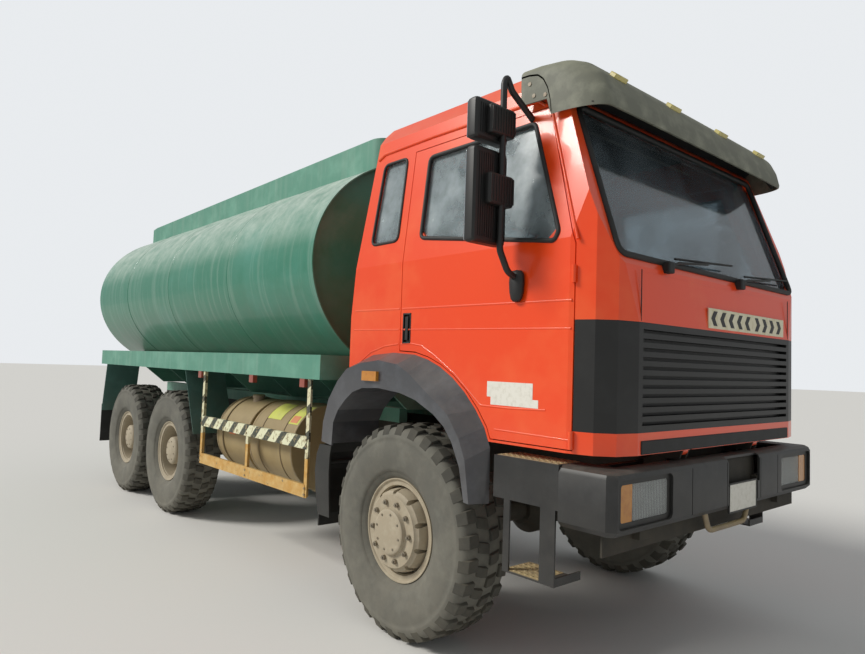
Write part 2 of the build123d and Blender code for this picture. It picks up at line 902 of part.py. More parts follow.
# Cab form, cut by a side outline, a front outline and a plan outline
def cab_form(inset):
    """Closed cab volume, all faces moved inward by the inset."""
    with BuildPart() as form:
        with BuildSketch(Plane.YZ) as side_view:
            with BuildLine():
                arch_end_y = arch_y - math.sqrt(arch_radius**2 - (cab_bottom_z - arch_z) ** 2)
                front_foot = (cab_front_y, cab_bottom_z)
                cowl = (cab_front_y + cowl_setback, cowl_z)
                screen_top = (cab_front_y + screen_top_setback, screen_top_z)
                brow = (cab_front_y + brow_setback, brow_z)
                arch_crest = (arch_y, arch_z + arch_radius)
                arch_foot = (arch_end_y, cab_bottom_z)
                arch_middle = (
                    arch_y - arch_radius * math.sin(math.radians(28)),
                    arch_z + arch_radius * math.cos(math.radians(28)),
                )
                Polyline(
                    arch_foot,
                    front_foot,
                    (cab_front_y, grille_top_z),
                    cowl,
                    screen_top,
                    brow,
                    (cab_front_y + brow_setback + 260, cab_roof_z),
                    (cab_rear_y - cab_back_lean - 95, cab_roof_z),
                    (cab_rear_y - cab_back_lean, cab_roof_z - 90),
                    (cab_rear_y, cab_back_break_z),
                    (cab_rear_y, cab_rear_bottom_z),
                    arch_crest,
                )
                ThreePointArc(arch_crest, arch_middle, arch_foot)
            make_face()
            if inset:
                offset(amount=-inset, kind=Kind.INTERSECTION, mode=Mode.REPLACE)
        extrude(side_view.sketch, amount=cab_half_width + 100, both=True)
        with BuildSketch(Plane.XZ) as front_view:
            with BuildLine():
                Polyline(
                    (-cab_half_width, cab_bottom_z - 200),
                    (-cab_half_width, cab_belt_z),
                    (-cab_top_half_width, cab_roof_z - roof_edge_radius),
                    (-cab_top_half_width + roof_edge_radius * 0.45, cab_roof_z - roof_edge_radius * 0.3),
                    (-cab_top_half_width + roof_edge_radius * 1.5, cab_roof_z + 8),
                    (cab_top_half_width - roof_edge_radius * 1.5, cab_roof_z + 8),
                    (cab_top_half_width - roof_edge_radius * 0.45, cab_roof_z - roof_edge_radius * 0.3),
                    (cab_top_half_width, cab_roof_z - roof_edge_radius),
                    (cab_half_width, cab_belt_z),
                    (cab_half_width, cab_bottom_z - 200),
                    close=True,
                )
            make_face()
            if inset:
                offset(amount=-inset, kind=Kind.INTERSECTION, mode=Mode.REPLACE)
        extrude(front_view.sketch, amount=overall_length, both=True, mode=Mode.INTERSECT)
        with BuildSketch(Plane.XY) as plan_view:
            with BuildLine():
                r = cab_corner_radius
                w = cab_half_width + 5
                Polyline(
                    (-w, cab_rear_y + 10),
                    (-w, cab_front_y + r * 1.3),
                    (-w + r * 0.22, cab_front_y + r * 0.55),
                    (-w + r * 0.62, cab_front_y + r * 0.16),
                    (-w + r * 1.35, cab_front_y - 2),
                    (w - r * 1.35, cab_front_y - 2),
                    (w - r * 0.62, cab_front_y + r * 0.16),
                    (w - r * 0.22, cab_front_y + r * 0.55),
                    (w, cab_front_y + r * 1.3),
                    (w, cab_rear_y + 10),
                    close=True,
                )
            make_face()
            if inset:
                offset(amount=-inset, kind=Kind.INTERSECTION, mode=Mode.REPLACE)
        extrude(plan_view.sketch, amount=cab_roof_z + 500, mode=Mode.INTERSECT)
    return form.part


cab_outside = cab_form(0)
cab_inside = cab_form(cab_wall)
glass_outside = cab_form(glass_inset)
glass_inside = cab_form(glass_inset + glass_thickness)

with BuildPart() as cab_walls:
    add(cab_outside)
    add(cab_inside, mode=Mode.SUBTRACT)
    block(
        (-tunnel_half_width - cab_wall, tunnel_half_width + cab_wall),
        (cab_front_y + 1, cab_rear_y - 1),
        (cab_bottom_z, tunnel_top_z + cab_wall),
    )
    add(cab_outside, mode=Mode.INTERSECT)
    block(
        (-tunnel_half_width, tunnel_half_width),
        (cab_front_y + cab_wall, cab_rear_y + 1),
        (cab_bottom_z - 300, tunnel_top_z),
        mode=Mode.SUBTRACT,
    )

with BuildPart() as glass_skin:
    add(glass_outside)
    add(glass_inside, mode=Mode.SUBTRACT)

# Outlines of the door and its openings as (y, z) points
door_front_y = front_axle_y - door_front_offset
door_rear_y = front_axle_y + door_rear_offset
door_pillar_top_y = front_axle_y - door_pillar_top_offset
arch_middle_y = arch_y + 20
arch_middle_z = arch_z + 250


def placed(outline):
    """Turns (offset from the front axle, z) points to (y, z)."""
    return [(front_axle_y + offset_y, z) for offset_y, z in outline]


def grown(outline, distance):
    """Moves (y, z) points of an arch outline about the given distance away from its middle."""
    share = 1 + distance / 770
    return [(arch_middle_y + share * (y - arch_middle_y), arch_middle_z + share * (z - arch_middle_z)) for y, z in outline]


def line_z(points, y):
    """Height of a line of (y, z) points at one y."""
    for (y0, z0), (y1, z1) in zip(points, points[1:]):
        if min(y0, y1) <= y <= max(y0, y1) and y0 != y1:
            return z0 + (z1 - z0) * (y - y0) / (y1 - y0)
    return points[-1][1]


def line_y(points, z):
    """Position where a falling line of (y, z) points passes one height."""
    for (y0, z0), (y1, z1) in zip(points, points[1:]):
        if z1 <= z <= z0:
            return y0 + (y1 - y0) * (z - z0) / (z1 - z0)
    return points[-1][0]


def side_slab(side, depth):
    """Volume outside a plane that follows the side of the cab at the given depth."""
    low = cab_bottom_z - 100
    high = cab_roof_z + 50
    lean = (cab_half_width - cab_top_half_width) / (cab_roof_z - roof_edge_radius - cab_belt_z)
    top_x = cab_half_width - lean * (high - cab_belt_z)
    with BuildPart() as slab:
        front_plate(
            [
                (side * (cab_half_width - depth), low),
                (side * (cab_half_width - depth), cab_belt_z),
                (side * (top_x - depth), high),
                (side * (cab_half_width + 200), high),
                (side * (cab_half_width + 200), low),
            ],
            (cab_front_y - 100, cab_rear_y + 100),
        )
    return slab.part


def door_prism(side, shrink):
    """Volume that the door leaf fills on one side, smaller by the given amount."""
    inner_x = cab_top_half_width - cab_wall - 120
    arch_line = grown(placed(trim_body_outline), trim_door_gap)
    foot_y = line_y([point for point in arch_line if point[0] < arch_y], door_bottom_z)
    arch_points = [point for point in arch_line if point[0] < door_rear_y and point[1] > door_bottom_z]
    with BuildPart() as prism:
        with BuildSketch(Plane.YZ.offset(side * inner_x)) as outline:
            with BuildLine():
                Polyline(
                    (door_front_y, door_bottom_z),
                    (door_front_y, door_pillar_break_z),
                    (door_pillar_top_y, door_top_z),
                    (door_rear_y, door_top_z),
                    (door_rear_y, line_z(arch_line, door_rear_y)),
                    *arch_points,
                    (foot_y, door_bottom_z),
                    close=True,
                )
            make_face()
            if shrink:
                offset(amount=-shrink, kind=Kind.INTERSECTION, mode=Mode.REPLACE)
        extrude(outline.sketch, amount=side * 600)
        add(side_slab(side, cab_wall if shrink else cab_wall + fit), mode=Mode.INTERSECT)
    return prism.part


def door_window_prism(side, shrink):
    """Volume cut for the door window."""
    inner_x = cab_top_half_width - cab_wall - 120
    lean = (door_front_y - door_pillar_top_y) / (door_pillar_break_z - door_top_z)
    low_front_y = door_front_y + lean * 60 + door_frame
    high_front_y = door_pillar_top_y + door_frame
    with BuildPart() as prism:
        with BuildSketch(Plane.YZ.offset(side * inner_x)) as outline:
            with BuildLine():
                Polyline(
                    (door_rear_y - door_frame * 1.6, door_sill_rear_z + 45),
                    (door_rear_y - door_frame * 1.6 - 45, door_sill_rear_z),
                    (low_front_y + 60, door_sill_front_z),
                    (low_front_y, door_sill_front_z + 60),
                    (high_front_y, door_top_z - door_frame * 0.75),
                    (door_rear_y - door_frame * 1.6, door_top_z - door_frame * 0.75),
                    close=True,
                )
            make_face()
            if shrink:
                offset(amount=-shrink, kind=Kind.INTERSECTION, mode=Mode.REPLACE)
        extrude(outline.sketch, amount=side * 600)
    return prism.part


def quarter_prism(side, shrink):
    """Volume cut for the quarter window behind the door."""
    inner_x = cab_top_half_width - cab_wall - 120
    y0 = front_axle_y + quarter_front_offset + shrink
    y1 = front_axle_y + quarter_rear_offset - shrink
    with BuildPart() as prism:
        with BuildSketch(Plane.YZ.offset(side * inner_x)) as outline:
            with BuildLine():
                Polyline(
                    (y0, quarter_bottom_z + 40 + shrink),
                    (y0 + 40, quarter_bottom_z + shrink),
                    (y1 - 30, quarter_bottom_z + shrink),
                    (y1, quarter_bottom_z + 30 + shrink),
                    (y1 - quarter_lean, quarter_top_z - 20 - shrink),
                    (y1 - quarter_lean - 22, quarter_top_z - shrink),
                    (y0 + 20, quarter_top_z - shrink),
                    (y0, quarter_top_z - 20 - shrink),
                    close=True,
                )
            make_face()
        extrude(outline.sketch, amount=side * 600)
    return prism.part


def screen_prism(shrink):
    """Volume cut for the windscreen."""
    low_z = cowl_z + screen_sill + shrink
    high_z = screen_top_z - screen_header - shrink
    low_x = screen_base_half_width - shrink
    high_x = screen_top_half_width - shrink
    with BuildPart() as prism:
        front_plate(
            [
                (-low_x + 50, low_z),
                (low_x - 50, low_z),
                (low_x, low_z + 50),
                (high_x, high_z - 50),
                (high_x - 50, high_z),
                (-high_x + 50, high_z),
                (-high_x, high_z - 50),
                (-low_x, low_z + 50),
            ],
            (cab_front_y - 50, cab_front_y + 620),
        )
    return prism.part


def rear_window_prism(side, shrink):
    """Volume cut for one of the two rear windows."""
    half = rear_window_width / 2 - shrink
    high = rear_window_height / 2 - shrink
    with BuildPart() as prism:
        block(
            (side * rear_window_x - half, side * rear_window_x + half),
            (cab_rear_y - cab_back_lean - 130, cab_rear_y + 50),
            (rear_window_z - high, rear_window_z + high),
        )
    return prism.part


# Front pieces are split from the walls along the real seams
front_split_y = door_front_y
with BuildPart() as grille_zone:
    block((-1500, 1500), (cab_front_y - 60, front_split_y), (grille_bottom_z, grille_top_z))
with BuildPart() as grille_piece_zone:
    block(
        (-1500, 1500),
        (cab_front_y - 60, front_split_y - fit),
        (grille_bottom_z + fit, grille_top_z - fit),
    )
with BuildPart() as panel_zone:
    block(
        (-grille_half_width, grille_half_width),
        (cab_front_y - 60, cab_front_y + cab_wall + 40),
        (grille_top_z, panel_top_z),
    )
with BuildPart() as panel_piece_zone:
    block(
        (-grille_half_width + fit, grille_half_width - fit),
        (cab_front_y - 60, cab_front_y + cab_wall + 40),
        (grille_top_z + fit, panel_top_z - fit),
    )

cab_hinge_y = front_axle_y - cab_hinge_y_offset
hinge_x = cab_half_width + 2
hinge_y_door = door_front_y + seam / 2
with BuildPart() as cab_body:
    add(cab_walls.part)
    for side in (1, -1):
        add(door_prism(side, 0), mode=Mode.SUBTRACT)
        add(quarter_prism(side, 0), mode=Mode.SUBTRACT)
        add(rear_window_prism(side, 0), mode=Mode.SUBTRACT)
    add(screen_prism(0), mode=Mode.SUBTRACT)
    add(grille_zone.part, mode=Mode.SUBTRACT)
    add(panel_zone.part, mode=Mode.SUBTRACT)
    # Posts behind the grille hold the lower front rail
    for side in (1, -1):
        block(
            (side * (cab_half_width - cab_wall - 130), side * (cab_half_width - cab_wall - 60)),
            (front_split_y - 60, front_split_y),
            (cab_bottom_z + cab_wall - 5, grille_top_z + 30),
        )
    # Hinge lugs at the front corners of the floor
    for side in (1, -1):
        near = side * cab_hinge_x - cab_lug_width / 2
        far = side * cab_hinge_x + cab_lug_width / 2
        rod_x(cab_lug_radius - 8, (near, far), cab_hinge_y, cab_hinge_z)
        rod_x(cab_pin_radius + fit, (near - 1, far + 1), cab_hinge_y, cab_hinge_z, mode=Mode.SUBTRACT)
        for facing in (-1, 1):
            clear_near = side * cab_hinge_x + facing * (cab_lug_width / 2)
            block(
                (clear_near, clear_near + facing * 24),
                (cab_hinge_y - 60, cab_hinge_y + 120),
                (cab_bottom_z - 30, cab_hinge_z + cab_lug_radius + 16),
                mode=Mode.SUBTRACT,
            )
    # Door hinge barrels and pins on the pillars
    for side in (1, -1):
        for z in (hinge_low_z, hinge_high_z):
            for low in (z - hinge_height * 1.5, z + hinge_height * 0.5 + fit):
                rod_z(hinge_radius, side * hinge_x, hinge_y_door, (low, low + hinge_height))
            rod_z(
                hinge_radius + fit,
                side * hinge_x,
                hinge_y_door,
                (z - hinge_height / 2, z + hinge_height / 2 + fit),
                mode=Mode.SUBTRACT,
            )
            rod_z(
                hinge_pin_radius,
                side * hinge_x,
                hinge_y_door,
                (z - hinge_height, z + hinge_height),
            )
save(cab_body.part, "cab_body")

with BuildPart() as grille:
    add(cab_walls.part)
    add(grille_piece_zone.part, mode=Mode.INTERSECT)
    for side in (1, -1):
        block(
            (side * (cab_half_width - cab_wall - 130 - fit), side * (cab_half_width - cab_wall - 60 + fit)),
            (front_split_y - 60 - fit, front_split_y + 5),
            (grille_bottom_z - 5, grille_top_z + 5),
            mode=Mode.SUBTRACT,
        )
    # Slots leave level slats with a closed back
    pitch = (grille_top_z - grille_bottom_z - 40) / slat_count
    for row in range(slat_count):
        z = grille_bottom_z + 20 + (row + 0.5) * pitch
        block(
            (-grille_half_width + 20, grille_half_width - 20),
            (cab_front_y - 10, cab_front_y + slat_depth),
            (z - (pitch - slat_height) / 2, z + (pitch - slat_height) / 2),
            mode=Mode.SUBTRACT,
        )
save(grille.part, "grille")

with BuildPart() as front_panel:
    add(cab_walls.part)
    add(panel_piece_zone.part, mode=Mode.INTERSECT)
save(front_panel.part, "front_panel")

with BuildPart() as windscreen:
    add(glass_skin.part)
    add(screen_prism(fit), mode=Mode.INTERSECT)
save(windscreen.part, "windscreen")

with BuildPart() as cab_windows:
    for side in (1, -1):
        with BuildPart(mode=Mode.PRIVATE) as pane:
            add(glass_skin.part)
            add(quarter_prism(side, fit), mode=Mode.INTERSECT)
        add(pane.part)
        with BuildPart(mode=Mode.PRIVATE) as rear_pane:
            add(glass_skin.part)
            add(rear_window_prism(side, fit), mode=Mode.INTERSECT)
        add(rear_pane.part)
save(cab_windows.part, "cab_windows")

# Doors with glass and mirrors
for side_name, side in (("left", 1), ("right", -1)):
    with BuildPart() as door:
        add(cab_walls.part)
        add(door_prism(side, seam), mode=Mode.INTERSECT)
        add(door_window_prism(side, 0), mode=Mode.SUBTRACT)
        block(
            (side * (cab_half_width - handle_depth), side * (cab_half_width + 20)),
            (door_rear_y - handle_gap - handle_width, door_rear_y - handle_gap),
            (handle_z - handle_height / 2, handle_z + handle_height / 2),
            mode=Mode.SUBTRACT,
        )
        for z in (hinge_low_z, hinge_high_z):
            low = z - hinge_height / 2 + fit
            rod_z(hinge_radius, side * hinge_x, hinge_y_door, (low, low + hinge_height - fit))
            rod_z(
                hinge_pin_radius + fit,
                side * hinge_x,
                hinge_y_door,
                (low - 1, low + hinge_height + 1),
                mode=Mode.SUBTRACT,
            )
            for cut_low in (z - hinge_height * 1.5 - fit, z + hinge_height * 0.5):
                rod_z(
                    hinge_radius + fit,
                    side * hinge_x,
                    hinge_y_door,
                    (cut_low, cut_low + hinge_height + fit),
                    mode=Mode.SUBTRACT,
                )
    save(door.part, "door_" + side_name)

    with BuildPart() as door_glass:
        add(glass_skin.part)
        add(door_window_prism(side, fit), mode=Mode.INTERSECT)
    save(door_glass.part, "door_glass_" + side_name)

    mirror_y = front_axle_y - mirror_offset
    head_y = mirror_y + mirror_head_gap
    with BuildPart() as mirror:
        # Tube, its two feet on the door, and the two heads
        rod_z(mirror_tube, side * mirror_x, mirror_y, (mirror_foot_z, mirror_top_z))
        rod_x(
            mirror_tube - 2,
            (side * (cab_half_width + fit), side * mirror_x),
            mirror_y,
            mirror_foot_z + mirror_tube,
        )
        rod_x(mirror_tube - 2, (side * (cab_top_half_width - 40), side * mirror_x), mirror_y, mirror_arm_z)
        for low_z, high_z in ((mirror_low_z, mirror_high_z), (mirror_top_low_z, mirror_top_high_z)):
            block(
                (side * mirror_inner_x, side * mirror_outer_x),
                (head_y, head_y + mirror_head_depth),
                (low_z, high_z),
            )
            block(
                (side * (mirror_x - 20), side * (mirror_x + 20)),
                (mirror_y, head_y + 5),
                ((low_z + high_z) / 2 - 40, (low_z + high_z) / 2 + 40),
            )
        add(cab_outside, mode=Mode.SUBTRACT)
    save(mirror.part, "mirror_" + side_name)

# Sun visor over the windscreen, a hood with rounded ends
def visor_form(inset):
    """Closed volume of the hood, its outer faces moved inward by the inset."""
    half = visor_half_width - inset
    front = front_axle_y + visor_top_outline[-1][0] + inset
    crest_z = max(z for _, z in visor_top_outline) - inset
    with BuildPart() as form:
        if inset:
            top = [(y + inset, z - inset) for y, z in placed(visor_top_outline)]
            top[0] = (top[0][0] + 100, top[0][1])
            low_z = cab_belt_z
            side_plate(top + [(top[-1][0], low_z), (top[0][0], low_z)], (-half, half))
        else:
            side_plate(placed(visor_top_outline + visor_foot_outline), (-half, half))
        front_plate(
            [
                (-half, cab_belt_z - 10),
                (-half, crest_z - visor_end_drop * 1.6),
                (-half + 28, crest_z - visor_end_drop * 0.75),
                (-half + 110, crest_z - visor_end_drop * 0.2),
                (-half + 260, crest_z + 1),
                (half - 260, crest_z + 1),
                (half - 110, crest_z - visor_end_drop * 0.2),
                (half - 28, crest_z - visor_end_drop * 0.75),
                (half, crest_z - visor_end_drop * 1.6),
                (half, cab_belt_z - 10),
            ],
            (front - 50, front + 900),
            mode=Mode.INTERSECT,
        )
        with BuildSketch(Plane.XY.offset(cab_belt_z - 20)) as plan:
            with BuildLine():
                Polyline(
                    (-half, front + 900),
                    (-half, front + visor_corner),
                    (-half + visor_corner * 0.25, front + visor_corner * 0.42),
                    (-half + visor_corner * 0.8, front + visor_corner * 0.1),
                    (-half + visor_corner * 1.5, front - 1),
                    (half - visor_corner * 1.5, front - 1),
                    (half - visor_corner * 0.8, front + visor_corner * 0.1),
                    (half - visor_corner * 0.25, front + visor_corner * 0.42),
                    (half, front + visor_corner),
                    (half, front + 900),
                    close=True,
                )
            make_face()
        extrude(plan.sketch, amount=1200, mode=Mode.INTERSECT)
    return form.part


with BuildPart() as sun_visor:
    add(visor_form(0))
    add(visor_form(visor_sheet), mode=Mode.SUBTRACT)
    add(cab_form(-fit), mode=Mode.SUBTRACT)
save(sun_visor.part, "sun_visor")

# Arch trims of the cab, each a hollow moulding from the body outline out to the face outline
def side_face(points, x):
    """Flat face with an outline of (y, z) points at one x."""
    with BuildSketch(Plane.YZ.offset(x)) as flat:
        with BuildLine():
            Polyline(*points, close=True)
        make_face()
    return flat.sketch.faces()[0]


def opened(points, low_z):
    """Carries the two feet of an outline straight down, so that a cut with it runs through."""
    return [(points[0][0], low_z)] + points + [(points[-1][0], low_z)]


body_outline = placed(trim_body_outline)
face_outline = placed(trim_face_outline)
opening_outline = placed(trim_opening)
with BuildPart() as arch_trims:
    for side in (1, -1):
        near_x = side * (cab_half_width + fit)
        far_x = side * trim_face_x
        with BuildPart(mode=Mode.PRIVATE) as outer_form:
            loft([side_face(body_outline, near_x), side_face(face_outline, far_x)], ruled=True)
        with BuildPart(mode=Mode.PRIVATE) as inner_form:
            loft(
                [
                    side_face(opened(grown(body_outline, -trim_sheet), 700), near_x - side),
                    side_face(opened(grown(face_outline, -trim_sheet), 700), side * (trim_face_x - trim_sheet)),
                ],
                ruled=True,
            )
        with BuildPart(mode=Mode.PRIVATE) as trim:
            add(outer_form.part)
            add(inner_form.part, mode=Mode.SUBTRACT)
            side_plate(opened(opening_outline, 600), (near_x - side * 10, far_x + side * 10), mode=Mode.SUBTRACT)
            # Liner over the tyre
            liner = opening_outline[:-2]
            side_plate(
                grown(liner, liner_sheet) + list(reversed(grown(liner, 0.5))),
                (side * liner_inner_x, side * (trim_face_x - trim_sheet + 2)),
            )
        add(trim.part)
save(arch_trims.part, "arch_trims")

# Mudguards behind the front wheels, on bars from the frame
guard_outline = placed(guard_outer_outline)
guard_hole = placed(guard_opening)
with BuildPart() as front_mudguards:
    for side in (1, -1):
        side_plate(
            guard_outline + [(y - guard_sheet, z) for y, z in reversed(guard_outline)],
            (side * guard_inner_x, side * trim_face_x),
        )
        side_plate(
            guard_outline + list(reversed(guard_hole)),
            (side * (trim_face_x - trim_sheet), side * trim_face_x),
        )
        bar_y = line_y(guard_outline, guard_bar_z) - guard_sheet / 2
        rod_x(18, (side * frame_half_width, side * (trim_face_x - 60)), bar_y, guard_bar_z)
save(front_mudguards.part, "front_mudguards")

# Front bumper as an open channel with recesses and a towing loop
bumper_y = front_y
with BuildPart() as front_bumper:
    block(
        (-bumper_half_width, bumper_half_width),
        (bumper_y, bumper_y + bumper_side_length),
        (bumper_bottom_z, bumper_top_z),
    )
    block(
        (-bumper_half_width + bumper_sheet, bumper_half_width - bumper_sheet),
        (bumper_y + bumper_sheet, bumper_y + bumper_side_length + 1),
        (bumper_bottom_z + bumper_sheet, bumper_top_z - bumper_sheet),
        mode=Mode.SUBTRACT,
    )
    block(
        (-bumper_half_width + step_depth, bumper_half_width - step_depth),
        (bumper_y + bumper_depth - 45, bumper_y + bumper_side_length + 1),
        (bumper_bottom_z - 1, bumper_top_z + 1),
        mode=Mode.SUBTRACT,
    )
    for side in (1, -1):
        outer = side * lamp_outer_x
        inner = side * (lamp_outer_x - lamp_width)
        block(
            (inner, outer),
            (bumper_y - 1, bumper_y + bumper_sheet + 1),
            (lamp_z - lamp_height / 2, lamp_z + lamp_height / 2),
            mode=Mode.SUBTRACT,
        )
    block(
        (-plate_recess_width / 2, plate_recess_width / 2),
        (bumper_y - 1, bumper_y + bumper_sheet + 1),
        (bumper_bottom_z + 55, bumper_top_z + 1),
        mode=Mode.SUBTRACT,
    )
    block(
        (-plate_recess_width / 2 - 12, plate_recess_width / 2 + 12),
        (bumper_y + 50, bumper_y + 62),
        (bumper_bottom_z + bumper_sheet, bumper_top_z),
    )
    # Apron under the channel
    block(
        (-bumper_half_width + 70, bumper_half_width - 70),
        (bumper_y + bumper_depth - 60, bumper_y + bumper_depth - 46),
        (bumper_bottom_z - apron_drop, bumper_bottom_z + 30),
    )
    # Stays from the channel to the frame ends
    for side in (1, -1):
        block(
            (side * (cab_hinge_x - 90), side * (cab_hinge_x - 50)),
            (bumper_y + bumper_sheet - 1, frame_front_y - 12),
            (bumper_bottom_z + 40, bumper_bottom_z + 140),
        )
    # Towing loop
    for side in (1, -1):
        block(
            (side * loop_half_width, side * (loop_half_width - loop_bar)),
            (bumper_y + 20, bumper_y + 20 + loop_bar),
            (bumper_bottom_z - loop_drop, bumper_bottom_z + 5),
        )
    block(
        (-loop_half_width, loop_half_width),
        (bumper_y + 20, bumper_y + 20 + loop_bar),
        (bumper_bottom_z - loop_drop, bumper_bottom_z - loop_drop + loop_bar),
    )
save(front_bumper.part, "front_bumper")

with BuildPart() as headlamps:
    for side in (1, -1):
        outer = side * (lamp_outer_x - indicator_width - 6)
        inner = side * (lamp_outer_x - lamp_width + fit)
        block(
            (inner, outer),
            (bumper_y + 12, bumper_y + lamp_depth),
            (lamp_z - lamp_height / 2 + fit, lamp_z + lamp_height / 2 - fit),
        )
save(headlamps.part, "headlamps")

with BuildPart() as front_indicators:
    for side in (1, -1):
        outer = side * (lamp_outer_x - fit)
        inner = side * (lamp_outer_x - indicator_width)
        block(
            (inner, outer),
            (bumper_y + 12, bumper_y + lamp_depth),
            (lamp_z - lamp_height / 2 + fit, lamp_z + lamp_height / 2 - fit),
        )
save(front_indicators.part, "front_indicators")

# Steps behind the bumper ends, with the lower treads hung from them
step_front_y = front_axle_y - step_front_offset
step_rear_y = front_axle_y - step_rear_offset
lower_front_y = front_axle_y - lower_step_front_offset
lower_rear_y = front_axle_y - lower_step_rear_offset
with BuildPart() as cab_steps:
    for side in (1, -1):
        outer = side * bumper_half_width
        inner = side * (bumper_half_width - step_depth)
        block((inner, outer), (step_front_y, step_rear_y), (step_bottom_z, bumper_top_z))
        block(
            (inner - side, outer - side * step_sheet),
            (step_front_y + step_sheet, step_rear_y - step_sheet),
            (step_bottom_z - 1, bumper_top_z - tread_height),
            mode=Mode.SUBTRACT,
        )
        block(
            (side * (frame_half_width + fit), inner + side * step_sheet),
            (step_front_y, step_front_y + 40),
            (bumper_top_z - 110, bumper_top_z - 30),
        )
        # Hangers and the lower tread
        block(
            (outer, outer - side * hanger_sheet),
            (lower_front_y - hanger_width, lower_front_y),
            (lower_step_z, step_bottom_z + 60),
        )
        block(
            (outer, outer - side * hanger_sheet),
            (lower_rear_y - 40, lower_rear_y),
            (lower_step_z, step_bottom_z + 60),
        )
        block(
            (outer, outer - side * lower_step_depth),
            (lower_front_y - hanger_width, lower_rear_y),
            (lower_step_z, lower_step_z + tread_height),
        )
        block(
            (outer, outer - side * lower_step_depth),
            (lower_front_y - hanger_width, lower_front_y - hanger_width + step_sheet),
            (lower_step_z, lower_step_z + 40),
        )
save(cab_steps.part, "cab_steps")

# Rubber flaps ahead of and behind the front wheels, and behind the rear wheels
flap_top_z = guard_outline[-1][1] + 90
flap_top_y = line_y(guard_outline, flap_top_z) + fit
flap_turn_y, flap_turn_z = guard_outline[-1][0] + fit, guard_outline[-1][1]
rear_foot_y = front_axle_y + mudguard_rear_foot_offset
with BuildPart() as mud_flaps:
    for side in (1, -1):
        side_plate(
            [
                (flap_top_y, flap_top_z),
                (flap_turn_y, flap_turn_z),
                (flap_turn_y, flap_foot_z),
                (flap_turn_y + flap_thickness, flap_foot_z),
                (flap_turn_y + flap_thickness, flap_turn_z),
                (flap_top_y + flap_thickness, flap_top_z),
            ],
            (side * guard_inner_x, side * (trim_face_x - 10)),
        )
        block(
            (side * mudguard_inner_x, side * (deck_half_width - 6)),
            (rear_foot_y + mudguard_sheet, rear_foot_y + mudguard_sheet + flap_thickness),
            (flap_foot_z, mudguard_foot_z + 80),
        )
save(mud_flaps.part, "mud_flaps")

# Tank with recessed heads, manhole collar and coaming on top
with BuildPart() as tank:
    ends = Plane(origin=(0, tank_front_y, tank_z), x_dir=(-1, 0, 0), z_dir=(0, 1, 0))
    with BuildSketch(ends) as section:
        Ellipse(tank_half_width, tank_half_height)
    extrude(section.sketch, amount=rear_y - tank_front_y)
    with BuildSketch(ends) as front_hollow:
        Ellipse(tank_half_width - tank_sheet, tank_half_height - tank_sheet)
    extrude(front_hollow.sketch, amount=head_recess, mode=Mode.SUBTRACT)
    far_end = Plane(origin=(0, rear_y, tank_z), x_dir=(1, 0, 0), z_dir=(0, -1, 0))
    with BuildSketch(far_end) as rear_hollow:
        Ellipse(tank_half_width - tank_sheet, tank_half_height - tank_sheet)
    extrude(rear_hollow.sketch, amount=head_recess, mode=Mode.SUBTRACT)
    manhole_y = front_axle_y + manhole_offset
    tank_top_z = tank_z + tank_half_height
    rod_z(manhole_radius, 0, manhole_y, (tank_top_z - 60, tank_top_z + manhole_height))
    rod_z(
        manhole_radius - manhole_wall,
        0,
        manhole_y,
        (tank_top_z - 20, tank_top_z + manhole_height + 1),
        mode=Mode.SUBTRACT,
    )
    # Hinge ears of the lid
    lid_hinge_z = tank_top_z + manhole_height + lid_thickness / 2
    lid_hinge_y = manhole_y + manhole_radius + 45
    for side in (1, -1):
        side_plate(
            [
                (lid_hinge_y - 60, tank_top_z + 10),
                (lid_hinge_y + 22, tank_top_z - 12),
                (lid_hinge_y + 16, lid_hinge_z + 10),
                (lid_hinge_y - 16, lid_hinge_z + 10),
            ],
            (side * 60, side * 74),
        )
    rod_x(8, (-74, 74), lid_hinge_y, lid_hinge_z)
save(tank.part, "tank")

with BuildPart() as manhole_lid:
    rod_z(manhole_radius + lid_rim, 0, manhole_y, (lid_hinge_z - lid_thickness / 2 + fit, lid_hinge_z + lid_thickness / 2))
    block(
        (-59, 59),
        (manhole_y + manhole_radius - 20, lid_hinge_y),
        (lid_hinge_z - lid_thickness / 2 + fit, lid_hinge_z + lid_thickness / 2),
    )
    rod_x(14, (-59, 59), lid_hinge_y, lid_hinge_z)
    rod_x(8 + fit, (-60, 60), lid_hinge_y, lid_hinge_z, mode=Mode.SUBTRACT)
save(manhole_lid.part, "manhole_lid")

coaming_rear_y = rear_y - coaming_rear_gap
with BuildPart() as tank_coaming:
    with BuildSketch(Plane.XY.offset(tank_z)) as ring:
        with Locations((0, (tank_front_y + coaming_rear_y) / 2)):
            RectangleRounded(coaming_half_spacing * 2, coaming_rear_y - tank_front_y, coaming_corner)
            RectangleRounded(
                coaming_half_spacing * 2 - coaming_sheet * 2,
                coaming_rear_y - tank_front_y - coaming_sheet * 2,
                coaming_corner - coaming_sheet,
                mode=Mode.SUBTRACT,
            )
    extrude(ring.sketch, amount=1400)
    side_plate(
        [
            (tank_front_y - 10, tank_z - 10),
            (tank_front_y - 10, coaming_front_z),
            (coaming_rear_y - 260, coaming_rear_z),
            (coaming_rear_y - 60, coaming_rear_z - 22),
            (coaming_rear_y + 10, coaming_rear_z - 110),
            (coaming_rear_y + 10, tank_z - 10),
        ],
        (-1500, 1500),
        mode=Mode.INTERSECT,
    )
    with BuildSketch(Plane(origin=(0, tank_front_y - 50, tank_z), x_dir=(-1, 0, 0), z_dir=(0, 1, 0))) as under:
        Ellipse(tank_half_width + fit, tank_half_height + fit)
    extrude(under.sketch, amount=rear_y - tank_front_y + 100, mode=Mode.SUBTRACT)
save(tank_coaming.part, "tank_coaming")

